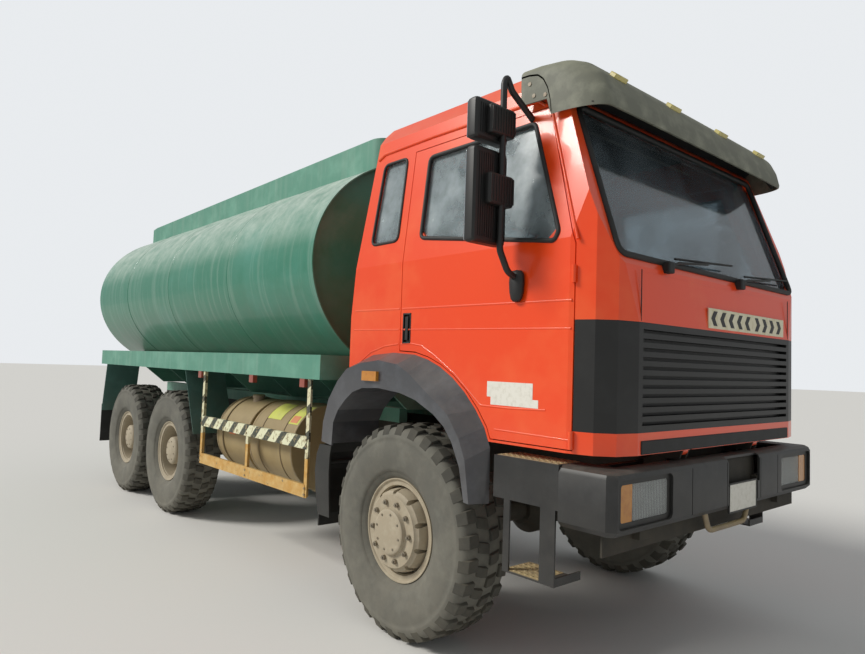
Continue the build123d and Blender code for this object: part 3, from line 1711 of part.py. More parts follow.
with BuildPart() as outlet_pipe:
    head_y = rear_y - head_recess
    rod_y(outlet_radius + outlet_wall, 0, (head_y, rear_y - 12), outlet_z)
    rod_y(outlet_flange_radius, 0, (rear_y - 12 - outlet_flange_thickness, rear_y - 12), outlet_z)
    rod_y(outlet_radius, 0, (head_y + 10, rear_y), outlet_z, mode=Mode.SUBTRACT)
    flange_plane = Plane(origin=(0, rear_y - 12, outlet_z), x_dir=(1, 0, 0), z_dir=(0, -1, 0))
    with BuildSketch(flange_plane) as bolt_holes:
        with PolarLocations(outlet_bolt_circle, outlet_bolt_count, start_angle=22.5):
            Circle(outlet_bolt_radius)
    extrude(bolt_holes.sketch, amount=outlet_flange_thickness, mode=Mode.SUBTRACT)
save(outlet_pipe.part, "outlet_pipe")

# Deck frame with outer channels, deck strips, bearers and long bearers on the rails
with BuildPart() as deck_frame:
    for side in (1, -1):
        outer = side * deck_half_width
        block((outer, outer - side * deck_sheet), (deck_front_y, deck_rear_y), (deck_bottom_z, deck_top_z))
        block(
            (outer, outer - side * deck_flange),
            (deck_front_y, deck_rear_y),
            (deck_bottom_z, deck_bottom_z + deck_sheet),
        )
        block(
            (outer, side * (bearer_outer_x - 60)),
            (deck_front_y, deck_rear_y),
            (deck_top_z - deck_sheet, deck_top_z),
        )
        block(
            (
                side * (frame_half_width - rail_flange / 2 - subframe_width / 2),
                side * (frame_half_width - rail_flange / 2 + subframe_width / 2),
            ),
            (deck_front_y + 120, frame_rear_y),
            (rail_top_z, rail_top_z + subframe_height),
        )
    span = deck_rear_y - deck_front_y - bearer_thickness
    low_z = rail_top_z + subframe_height
    for number in range(bearer_count):
        y0 = deck_front_y + span * number / (bearer_count - 1)
        front_plate(
            [
                (-bearer_inner_x, low_z - 1),
                (bearer_inner_x, low_z - 1),
                (bearer_outer_x, deck_bottom_z),
                (deck_half_width - 1, deck_bottom_z),
                (deck_half_width - 1, deck_top_z - 1),
                (-deck_half_width + 1, deck_top_z - 1),
                (-deck_half_width + 1, deck_bottom_z),
                (-bearer_outer_x, deck_bottom_z),
            ],
            (y0, y0 + bearer_thickness),
        )
    with BuildSketch(Plane(origin=(0, deck_front_y - 50, tank_z), x_dir=(-1, 0, 0), z_dir=(0, 1, 0))) as cradle:
        Ellipse(tank_half_width + fit, tank_half_height + fit)
    extrude(cradle.sketch, amount=deck_rear_y - deck_front_y + 100, mode=Mode.SUBTRACT)
save(deck_frame.part, "deck_frame")

# Rear mudguard plates under the deck
with BuildPart() as rear_mudguards:
    for side in (1, -1):
        x_range = (side * mudguard_inner_x, side * (deck_half_width - 4))
        for top_offset, foot_offset in (
            (mudguard_front_top_offset, mudguard_front_foot_offset),
            (mudguard_rear_top_offset, mudguard_rear_foot_offset),
        ):
            top_y = front_axle_y + top_offset
            foot_y = front_axle_y + foot_offset
            side_plate(
                [
                    (top_y, deck_bottom_z),
                    (top_y + mudguard_sheet, deck_bottom_z),
                    (foot_y + mudguard_sheet, mudguard_foot_z),
                    (foot_y, mudguard_foot_z),
                ],
                x_range,
            )
save(rear_mudguards.part, "rear_mudguards")

# Side guards hang from the deck on both sides
with BuildPart() as side_guards:
    for side in (1, -1):
        outer = side * guard_x
        for post_offset, top_z in (
            (guard_front_offset, deck_bottom_z),
            (guard_middle_offset, guard_upper_z + guard_rail_height / 2),
            (guard_rear_offset, deck_bottom_z),
        ):
            y = front_axle_y + post_offset
            block(
                (outer, outer - side * guard_post),
                (y - guard_post / 2, y + guard_post / 2),
                (guard_lower_z - guard_rail_height / 2, top_z),
            )
        for z in (guard_upper_z, guard_lower_z):
            block(
                (outer, outer - side * 24),
                (front_axle_y + guard_front_offset, front_axle_y + guard_rear_offset),
                (z - guard_rail_height / 2, z + guard_rail_height / 2),
            )
save(side_guards.part, "side_guards")

# Fuel tank in two drums on brackets, at the right
fuel_front_y = front_axle_y + fuel_front_offset
fuel_split_y = front_axle_y + fuel_split_offset
fuel_rear_y = front_axle_y + fuel_rear_offset
with BuildPart() as fuel_tank:
    rod_y(fuel_radius, -fuel_x, (fuel_front_y, fuel_split_y), fuel_z)
    rod_y(fuel_radius - 6, -fuel_x, (fuel_split_y + fuel_gap, fuel_rear_y), fuel_z)
    rod_y(fuel_radius - 60, -fuel_x, (fuel_split_y - 5, fuel_split_y + fuel_gap + 5), fuel_z)
    for strap_y in (fuel_front_y + 180, fuel_split_y - 180, fuel_rear_y - 140):
        rod_y(fuel_radius + strap_sheet, -fuel_x, (strap_y, strap_y + strap_width), fuel_z)
        block(
            (-fuel_x, -frame_half_width - fit),
            (strap_y, strap_y + strap_width),
            (fuel_z - fuel_radius - 30, fuel_z - fuel_radius + 60),
        )
        block(
            (-frame_half_width - 22, -frame_half_width - fit),
            (strap_y, strap_y + strap_width),
            (fuel_z - fuel_radius - 30, rail_top_z - 30),
        )
save(fuel_tank.part, "fuel_tank")

# Battery box and air bottles, at the left
box_front_y = front_axle_y + box_front_offset
box_rear_y = front_axle_y + box_rear_offset
with BuildPart() as battery_box:
    block(
        (frame_half_width + fit, guard_x - 90),
        (box_front_y, box_rear_y),
        (fuel_z - 260, fuel_z + 220),
    )
save(battery_box.part, "battery_box")

air_front_y = front_axle_y + air_front_offset
air_rear_y = front_axle_y + air_rear_offset
with BuildPart() as air_bottles:
    for bottle_x in (640, 930):
        rod_y(air_radius, bottle_x, (air_front_y, air_rear_y), fuel_z + 60)
    for bar_y in (air_front_y + 150, air_rear_y - 190):
        block(
            (frame_half_width + fit, 1080),
            (bar_y, bar_y + 40),
            (fuel_z + 60 + air_radius - 10, fuel_z + 60 + air_radius + 30),
        )
save(air_bottles.part, "air_bottles")

# Side marker lamps under the deck edge and tail lamps on the frame end
with BuildPart() as side_lamps:
    for side in (1, -1):
        for lamp_offset in (1145, 1955, 3005):
            y = front_axle_y + lamp_offset
            block(
                (side * (deck_half_width - 40), side * (deck_half_width - 2)),
                (y - 34, y + 34),
                (deck_bottom_z - 62, deck_bottom_z),
            )
        block(
            (side * (deck_half_width - 330), side * (deck_half_width - 40)),
            (deck_rear_y, deck_rear_y + 60),
            (deck_bottom_z + 20, deck_top_z - 30),
        )
save(side_lamps.part, "side_lamps")

# Cab lamps in amber
with BuildPart() as marker_lamps:
    lamp_y = arch_y + 180
    for side in (1, -1):
        block(
            (side * (trim_face_x + fit), side * (trim_face_x + 22)),
            (lamp_y - 75, lamp_y + 75),
            (arch_z + 782, arch_z + 842),
        )
save(marker_lamps.part, "marker_lamps")

# Cab furniture
floor_crest_z = arch_z + arch_radius + cab_wall
with BuildPart() as seats:
    for side in (1, -1):
        x_range = (side * seat_x - seat_width / 2, side * seat_x + seat_width / 2)
        seat_y = arch_y
        side_plate(
            [
                (seat_y, floor_crest_z + fit),
                (seat_y + 260, floor_crest_z + fit),
                (seat_y + 260, seat_cushion_z),
                (seat_y + 330, seat_cushion_z + 40),
                (seat_y + 380, seat_back_top_z),
                (seat_y + 290, seat_back_top_z),
                (seat_y + 210, seat_cushion_z + seat_cushion_thickness),
                (seat_y - 290, seat_cushion_z + seat_cushion_thickness),
                (seat_y - 300, seat_cushion_z),
                (seat_y, seat_cushion_z - 60),
            ],
            x_range,
        )
save(seats.part, "seats")

with BuildPart() as dashboard:
    dash_front_y = cab_front_y + cab_wall + fit
    side_plate(
        [
            (dash_front_y, dash_bottom_z),
            (dash_front_y + dash_depth - 110, dash_bottom_z),
            (dash_front_y + dash_depth, dash_bottom_z + 60),
            (dash_front_y + dash_depth, dash_top_z - 30),
            (dash_front_y + dash_depth - 60, dash_top_z),
            (dash_front_y + 30, dash_top_z),
            (dash_front_y, dash_top_z - 60),
        ],
        (-cab_half_width + 20, cab_half_width - 20),
    )
    add(cab_form(cab_wall + fit), mode=Mode.INTERSECT)
    for side in (1, -1):
        block(
            (side * (cab_half_width - cab_wall - 134), side * (cab_half_width + 10)),
            (front_split_y - 70, front_split_y + 200),
            (dash_bottom_z - 10, grille_top_z + 34),
            mode=Mode.SUBTRACT,
        )
save(dashboard.part, "dashboard")

with BuildPart() as steering_wheel:
    wheel_y = front_axle_y - wheel_offset
    tilt = math.radians(wheel_tilt)
    hub_plane = Plane(
        origin=(wheel_x, wheel_y, wheel_z),
        x_dir=(1, 0, 0),
        z_dir=(0, math.sin(tilt), math.cos(tilt)),
    )
    with BuildSketch(Plane(origin=hub_plane.origin, x_dir=(1, 0, 0), z_dir=hub_plane.y_dir)) as rim_section:
        with Locations((wheel_rim_radius, 0)):
            Circle(wheel_tube)
    revolve(rim_section.sketch, axis=Axis(hub_plane.origin, hub_plane.z_dir))
    with BuildSketch(hub_plane.offset(-18)) as spokes:
        Circle(58)
        Rectangle(wheel_rim_radius * 2 - 6, 30)
    extrude(spokes.sketch, amount=18)
    with BuildSketch(hub_plane.offset(-18)) as column:
        Circle(32)
    extrude(column.sketch, amount=-(wheel_z - cab_bottom_z) / math.cos(tilt))
    block(
        (wheel_x - 100, wheel_x + 100),
        (cab_front_y, front_axle_y),
        (cab_bottom_z - 200, cab_bottom_z + cab_wall + fit),
        mode=Mode.SUBTRACT,
    )
save(steering_wheel.part, "steering_wheel")
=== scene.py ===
"""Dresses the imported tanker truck: finishes, fittings, tyres, tank, lamps, studio and camera."""

import json
import logging
import math
from dataclasses import dataclass
from enum import Enum
from typing import Iterable, Sequence

import bmesh
import bpy
from mathutils import Matrix, Vector

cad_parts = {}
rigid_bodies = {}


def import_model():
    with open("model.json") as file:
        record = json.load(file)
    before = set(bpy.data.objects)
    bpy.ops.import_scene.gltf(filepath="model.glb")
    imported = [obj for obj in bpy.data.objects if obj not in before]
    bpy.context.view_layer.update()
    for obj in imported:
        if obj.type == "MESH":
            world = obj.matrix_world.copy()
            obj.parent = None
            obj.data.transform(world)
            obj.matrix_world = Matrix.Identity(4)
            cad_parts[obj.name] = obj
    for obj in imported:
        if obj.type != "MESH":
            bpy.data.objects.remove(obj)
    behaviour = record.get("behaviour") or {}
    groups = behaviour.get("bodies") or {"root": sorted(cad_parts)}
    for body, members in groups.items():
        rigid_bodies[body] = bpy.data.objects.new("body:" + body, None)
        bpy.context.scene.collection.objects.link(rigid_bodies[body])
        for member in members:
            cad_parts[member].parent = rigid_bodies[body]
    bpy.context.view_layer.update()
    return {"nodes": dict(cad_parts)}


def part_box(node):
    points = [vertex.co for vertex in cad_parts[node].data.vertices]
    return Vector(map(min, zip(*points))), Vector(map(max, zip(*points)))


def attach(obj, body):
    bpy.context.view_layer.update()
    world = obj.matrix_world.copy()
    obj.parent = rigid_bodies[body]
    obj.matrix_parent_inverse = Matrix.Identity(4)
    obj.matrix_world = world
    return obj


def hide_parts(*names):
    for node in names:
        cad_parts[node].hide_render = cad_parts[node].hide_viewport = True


LOG = logging.getLogger("tanker_truck")

Point = tuple[float, float, float]
Pair = tuple[float, float]
Pane = tuple[float, float, float, float]
Outline = tuple[Pair, ...]
Mesh = bmesh.types.BMesh

FRONT_AXLE_Y = -2.700
MIDDLE_AXLE_Y = 1.150
REAR_AXLE_Y = 2.510
AXLE_Z = 0.620


def mm(value: float) -> float:
    """Millimetres to metres."""
    return value / 1000.0


def from_axle(offset_mm: float) -> float:
    """Row-frame y of a distance behind the front axle, in millimetres."""
    return FRONT_AXLE_Y + offset_mm / 1000.0


def linear(code: str) -> tuple[float, float, float, float]:
    """Turns an sRGB hex code to linear colour.

    Args:
        code: six hex digits.

    Returns:
        Red, green, blue and alpha, linear.
    """
    out = []
    for start in (0, 2, 4):
        c = int(code[start : start + 2], 16) / 255.0
        out.append(c / 12.92 if c <= 0.04045 else ((c + 0.055) / 1.055) ** 2.4)
    return (out[0], out[1], out[2], 1.0)


class Side(Enum):
    """Side of the truck, with the sign of its x."""

    LEFT = 1
    RIGHT = -1

    @property
    def word(self) -> str:
        """Name used in the nodes."""
        return self.name.lower()


# Materials


def add_node(tree: bpy.types.NodeTree, kind: str, settings: dict | None = None,
             links: dict | None = None) -> bpy.types.Node:
    """Adds one node with its settings and links.

    Args:
        tree: the material's tree.
        kind: the node's type, without the ShaderNode that all begin with.
        settings: attributes, or values of inputs by name or index.
        links: what feeds each input: an output socket, or a node for its first output.

    Returns:
        The new node.
    """
    made = tree.nodes.new("ShaderNode" + kind)
    for key, value in (settings or {}).items():
        if isinstance(key, str) and hasattr(made, key) and key not in made.inputs:
            setattr(made, key, value)
        else:
            made.inputs[key].default_value = value
    for key, source in (links or {}).items():
        output = source.outputs[0] if isinstance(source, bpy.types.Node) else source
        tree.links.new(output, made.inputs[key])
    return made


def start_material(name: str) -> tuple[bpy.types.Material, bpy.types.NodeTree, bpy.types.Node]:
    """Makes an empty node material with its Principled shader.

    Args:
        name: the material's name.

    Returns:
        The material, its tree and its shader.
    """
    made = bpy.data.materials.new(name)
    made.use_nodes = True
    tree = made.node_tree
    tree.nodes.clear()
    shader = add_node(tree, "BsdfPrincipled")
    add_node(tree, "OutputMaterial", links={"Surface": shader})
    return made, tree, shader


@dataclass(frozen=True)
class AgedFinish:
    """A surface with patches of another tone, settled dust and fine relief.

    The patches come from sun and wiping, the dust from dirt roads: it lies on what faces up
    and on what is low, and it dulls the gloss. On some finishes the pale tone on what faces up
    is also a painted highlight, and the darker tone low down is also painted shade.
    """

    name: str
    colour: str
    patch: str
    dust: str = "B9AE98"
    low_dust: str = ""
    roughness: float = 0.45
    metallic: float = 0.0
    ior: float = 1.5
    coat: float = 0.0
    patch_mm: float = 60.0
    patch_share: float = 0.5
    grain_mm: float = 6.0
    grain_depth_mm: float = 0.2
    dust_up: float = 0.5
    up_from: float = 0.15
    up_full: float = 1.0
    dust_low_m: float = 0.2
    dust_high_m: float = 1.3
    low_share: float = 0.0
    dust_base: float = 0.04
    streaks: float = 0.0
    wear: str = ""
    wear_share: float = 0.0

    def build(self) -> bpy.types.Material:
        """Builds the node material.

        Returns:
            The material.
        """
        made, tree, shader = start_material(self.name)
        place = add_node(tree, "TexCoord").outputs["Object"]
        patches = add_node(tree, "TexNoise",
                           {"Scale": 1000.0 / self.patch_mm, "Detail": 5.0, "Roughness": 0.62},
                           {"Vector": place})
        patch_mask = add_node(tree, "MapRange", {"From Min": 0.62 - 0.3 * self.patch_share, "From Max": 0.72},
                              {"Value": patches.outputs["Fac"]})
        paint = add_node(tree, "Mix", {"data_type": "RGBA", 6: linear(self.colour), 7: linear(self.patch)},
                         {"Factor": patch_mask})
        colour = paint.outputs[2]
        grain = add_node(tree, "TexNoise", {"Scale": 1000.0 / self.grain_mm, "Detail": 3.0},
                         {"Vector": place})
        if self.wear:
            chips = add_node(tree, "TexNoise", {"Scale": 22.0, "Detail": 8.0, "Roughness": 0.7},
                             {"Vector": place})
            chip_mask = add_node(tree, "MapRange",
                                 {"From Min": 0.74 - self.wear_share, "From Max": 0.77 - self.wear_share},
                                 {"Value": chips.outputs["Fac"]})
            worn = add_node(tree, "Mix", {"data_type": "RGBA", 7: linear(self.wear)},
                            {"Factor": chip_mask, 6: colour})
            colour = worn.outputs[2]
        if self.streaks > 0.0:
            run = add_node(tree, "Mapping", {"Scale": (0.4, 9.0, 0.55)}, {"Vector": place})
            lines = add_node(tree, "TexNoise", {"Scale": 1.6, "Detail": 6.0, "Roughness": 0.6},
                             {"Vector": run})
            line_mask = add_node(tree, "MapRange",
                                 {"From Min": 0.5, "From Max": 0.78, "To Max": self.streaks},
                                 {"Value": lines.outputs["Fac"]})
            streaked = add_node(tree, "Mix", {"data_type": "RGBA", 7: linear(self.dust)},
                                {"Factor": line_mask, 6: colour})
            colour = streaked.outputs[2]
        up = add_node(tree, "SeparateXYZ", links={0: add_node(tree, "NewGeometry").outputs["Normal"]})
        height = add_node(tree, "SeparateXYZ", links={0: place})
        # Tone on what is low: dust, and on the tank darker dirt together with painted shade
        low = add_node(tree, "MapRange",
                       {"From Min": self.dust_high_m, "From Max": self.dust_low_m,
                        "To Max": self.low_share}, {"Value": height.outputs["Z"]})
        # Paler tone on what faces up: settled dust, and on the visor also a painted highlight
        top = add_node(tree, "MapRange",
                       {"From Min": self.up_from, "From Max": self.up_full,
                        "To Max": self.dust_up}, {"Value": up.outputs["Z"]})
        lifted = add_node(tree, "Math", {"operation": "ADD", 1: self.dust_base}, {0: top})
        cloud = add_node(tree, "TexNoise", {"Scale": 7.0, "Detail": 7.0, "Roughness": 0.68},
                         {"Vector": place})
        cloud_level = add_node(tree, "MapRange",
                               {"From Min": 0.3, "From Max": 0.7, "To Min": 0.35, "To Max": 1.25},
                               {"Value": cloud.outputs["Fac"]})
        mask = add_node(tree, "Math", {"operation": "MULTIPLY", "use_clamp": True},
                        {0: lifted, 1: cloud_level})
        low_dirt_and_shade_mask = add_node(tree, "Math", {"operation": "MULTIPLY", "use_clamp": True},
                            {0: low, 1: cloud_level})
        low_dirt_and_shade_tone = add_node(tree, "Mix", {"data_type": "RGBA", 7: linear(self.low_dust or self.dust)},
                            {"Factor": low_dirt_and_shade_mask, 6: colour})
        dust_and_highlight_tone = add_node(tree, "Mix", {"data_type": "RGBA", 7: linear(self.dust)},
                          {"Factor": mask, 6: low_dirt_and_shade_tone.outputs[2]})
        rough = add_node(tree, "MapRange", {"To Min": self.roughness, "To Max": 0.9}, {"Value": mask})
        relief = add_node(tree, "Bump", {"Strength": 0.6, "Distance": mm(self.grain_depth_mm)},
                          {"Height": grain.outputs["Fac"]})
        tree.links.new(dust_and_highlight_tone.outputs[2], shader.inputs["Base Color"])
        tree.links.new(rough.outputs[0], shader.inputs["Roughness"])
        tree.links.new(relief.outputs[0], shader.inputs["Normal"])
        shader.inputs["Metallic"].default_value = self.metallic
        shader.inputs["IOR"].default_value = self.ior
        shader.inputs["Coat Weight"].default_value = self.coat
        shader.inputs["Coat Roughness"].default_value = 0.08
        return made


@dataclass(frozen=True)
class StripedFinish:
    """Hand-painted warning stripes, sloping, worn at the edges."""

    name: str
    light: str
    dark: str
    pitch_mm: float
    share: float
    slope: float
    roughness: float = 0.6

    def build(self) -> bpy.types.Material:
        """Builds the node material.

        Returns:
            The material.
        """
        made, tree, shader = start_material(self.name)
        place = add_node(tree, "TexCoord").outputs["Object"]
        parts = add_node(tree, "SeparateXYZ", links={0: place})
        tilted = add_node(tree, "Math", {"operation": "MULTIPLY_ADD", 1: self.slope},
                          {0: parts.outputs["Z"], 2: parts.outputs["Y"]})
        ragged = add_node(tree, "TexNoise", {"Scale": 60.0, "Detail": 4.0}, {"Vector": place})
        shaken = add_node(tree, "Math", {"operation": "MULTIPLY_ADD", 1: 0.02},
                          {0: ragged.outputs["Fac"], 2: tilted})
        turns = add_node(tree, "Math", {"operation": "MULTIPLY", 1: 1000.0 / self.pitch_mm}, {0: shaken})
        wave = add_node(tree, "Math", {"operation": "FRACT"}, {0: turns})
        stripe = add_node(tree, "Math", {"operation": "LESS_THAN", 1: self.share}, {0: wave})
        worn = add_node(tree, "TexNoise", {"Scale": 25.0, "Detail": 7.0, "Roughness": 0.7}, {"Vector": place})
        bare = add_node(tree, "MapRange", {"From Min": 0.52, "From Max": 0.62},
                        {"Value": worn.outputs["Fac"]})
        paint = add_node(tree, "Mix", {"data_type": "RGBA", 6: linear(self.light), 7: linear(self.dark)},
                         {"Factor": stripe})
        aged = add_node(tree, "Mix", {"data_type": "RGBA", 7: linear("9C8E68")},
                        {"Factor": bare, 6: paint.outputs[2]})
        tree.links.new(aged.outputs[2], shader.inputs["Base Color"])
        shader.inputs["Roughness"].default_value = self.roughness
        return made


@dataclass(frozen=True)
class ClearFinish:
    """Clear pressed or rolled glass, lightly tinted and dusty."""

    name: str
    tint: str
    dust: str = "A9B2B2"
    dust_share: float = 0.25
    roughness: float = 0.04
    transmission: float = 0.85
    ribs_mm: float = 0.0

    def build(self) -> bpy.types.Material:
        """Builds the node material.

        Returns:
            The material.
        """
        made, tree, shader = start_material(self.name)
        place = add_node(tree, "TexCoord").outputs["Object"]
        film = add_node(tree, "TexNoise", {"Scale": 3.0, "Detail": 6.0, "Roughness": 0.6}, {"Vector": place})
        mask = add_node(tree, "MapRange", {"From Min": 0.35, "From Max": 0.75, "To Max": self.dust_share},
                        {"Value": film.outputs["Fac"]})
        colour = add_node(tree, "Mix", {"data_type": "RGBA", 6: linear(self.tint), 7: linear(self.dust)},
                          {"Factor": mask})
        through = add_node(tree, "MapRange", {"To Min": self.transmission, "To Max": 0.0}, {"Value": mask})
        rough = add_node(tree, "MapRange", {"To Min": self.roughness, "To Max": 0.5}, {"Value": mask})
        tree.links.new(colour.outputs[2], shader.inputs["Base Color"])
        tree.links.new(through.outputs[0], shader.inputs["Transmission Weight"])
        tree.links.new(rough.outputs[0], shader.inputs["Roughness"])
        if self.ribs_mm > 0.0:
            parts = add_node(tree, "SeparateXYZ", links={0: place})
            ribs = add_node(tree, "Math", {"operation": "MULTIPLY", 1: 2.0 * math.pi * 1000.0 / self.ribs_mm},
                            {0: parts.outputs["X"]})
            wave = add_node(tree, "Math", {"operation": "SINE"}, {0: ribs})
            relief = add_node(tree, "Bump", {"Strength": 0.7, "Distance": 0.002}, {"Height": wave})
            tree.links.new(relief.outputs[0], shader.inputs["Normal"])
        shader.inputs["IOR"].default_value = 1.45
        return made


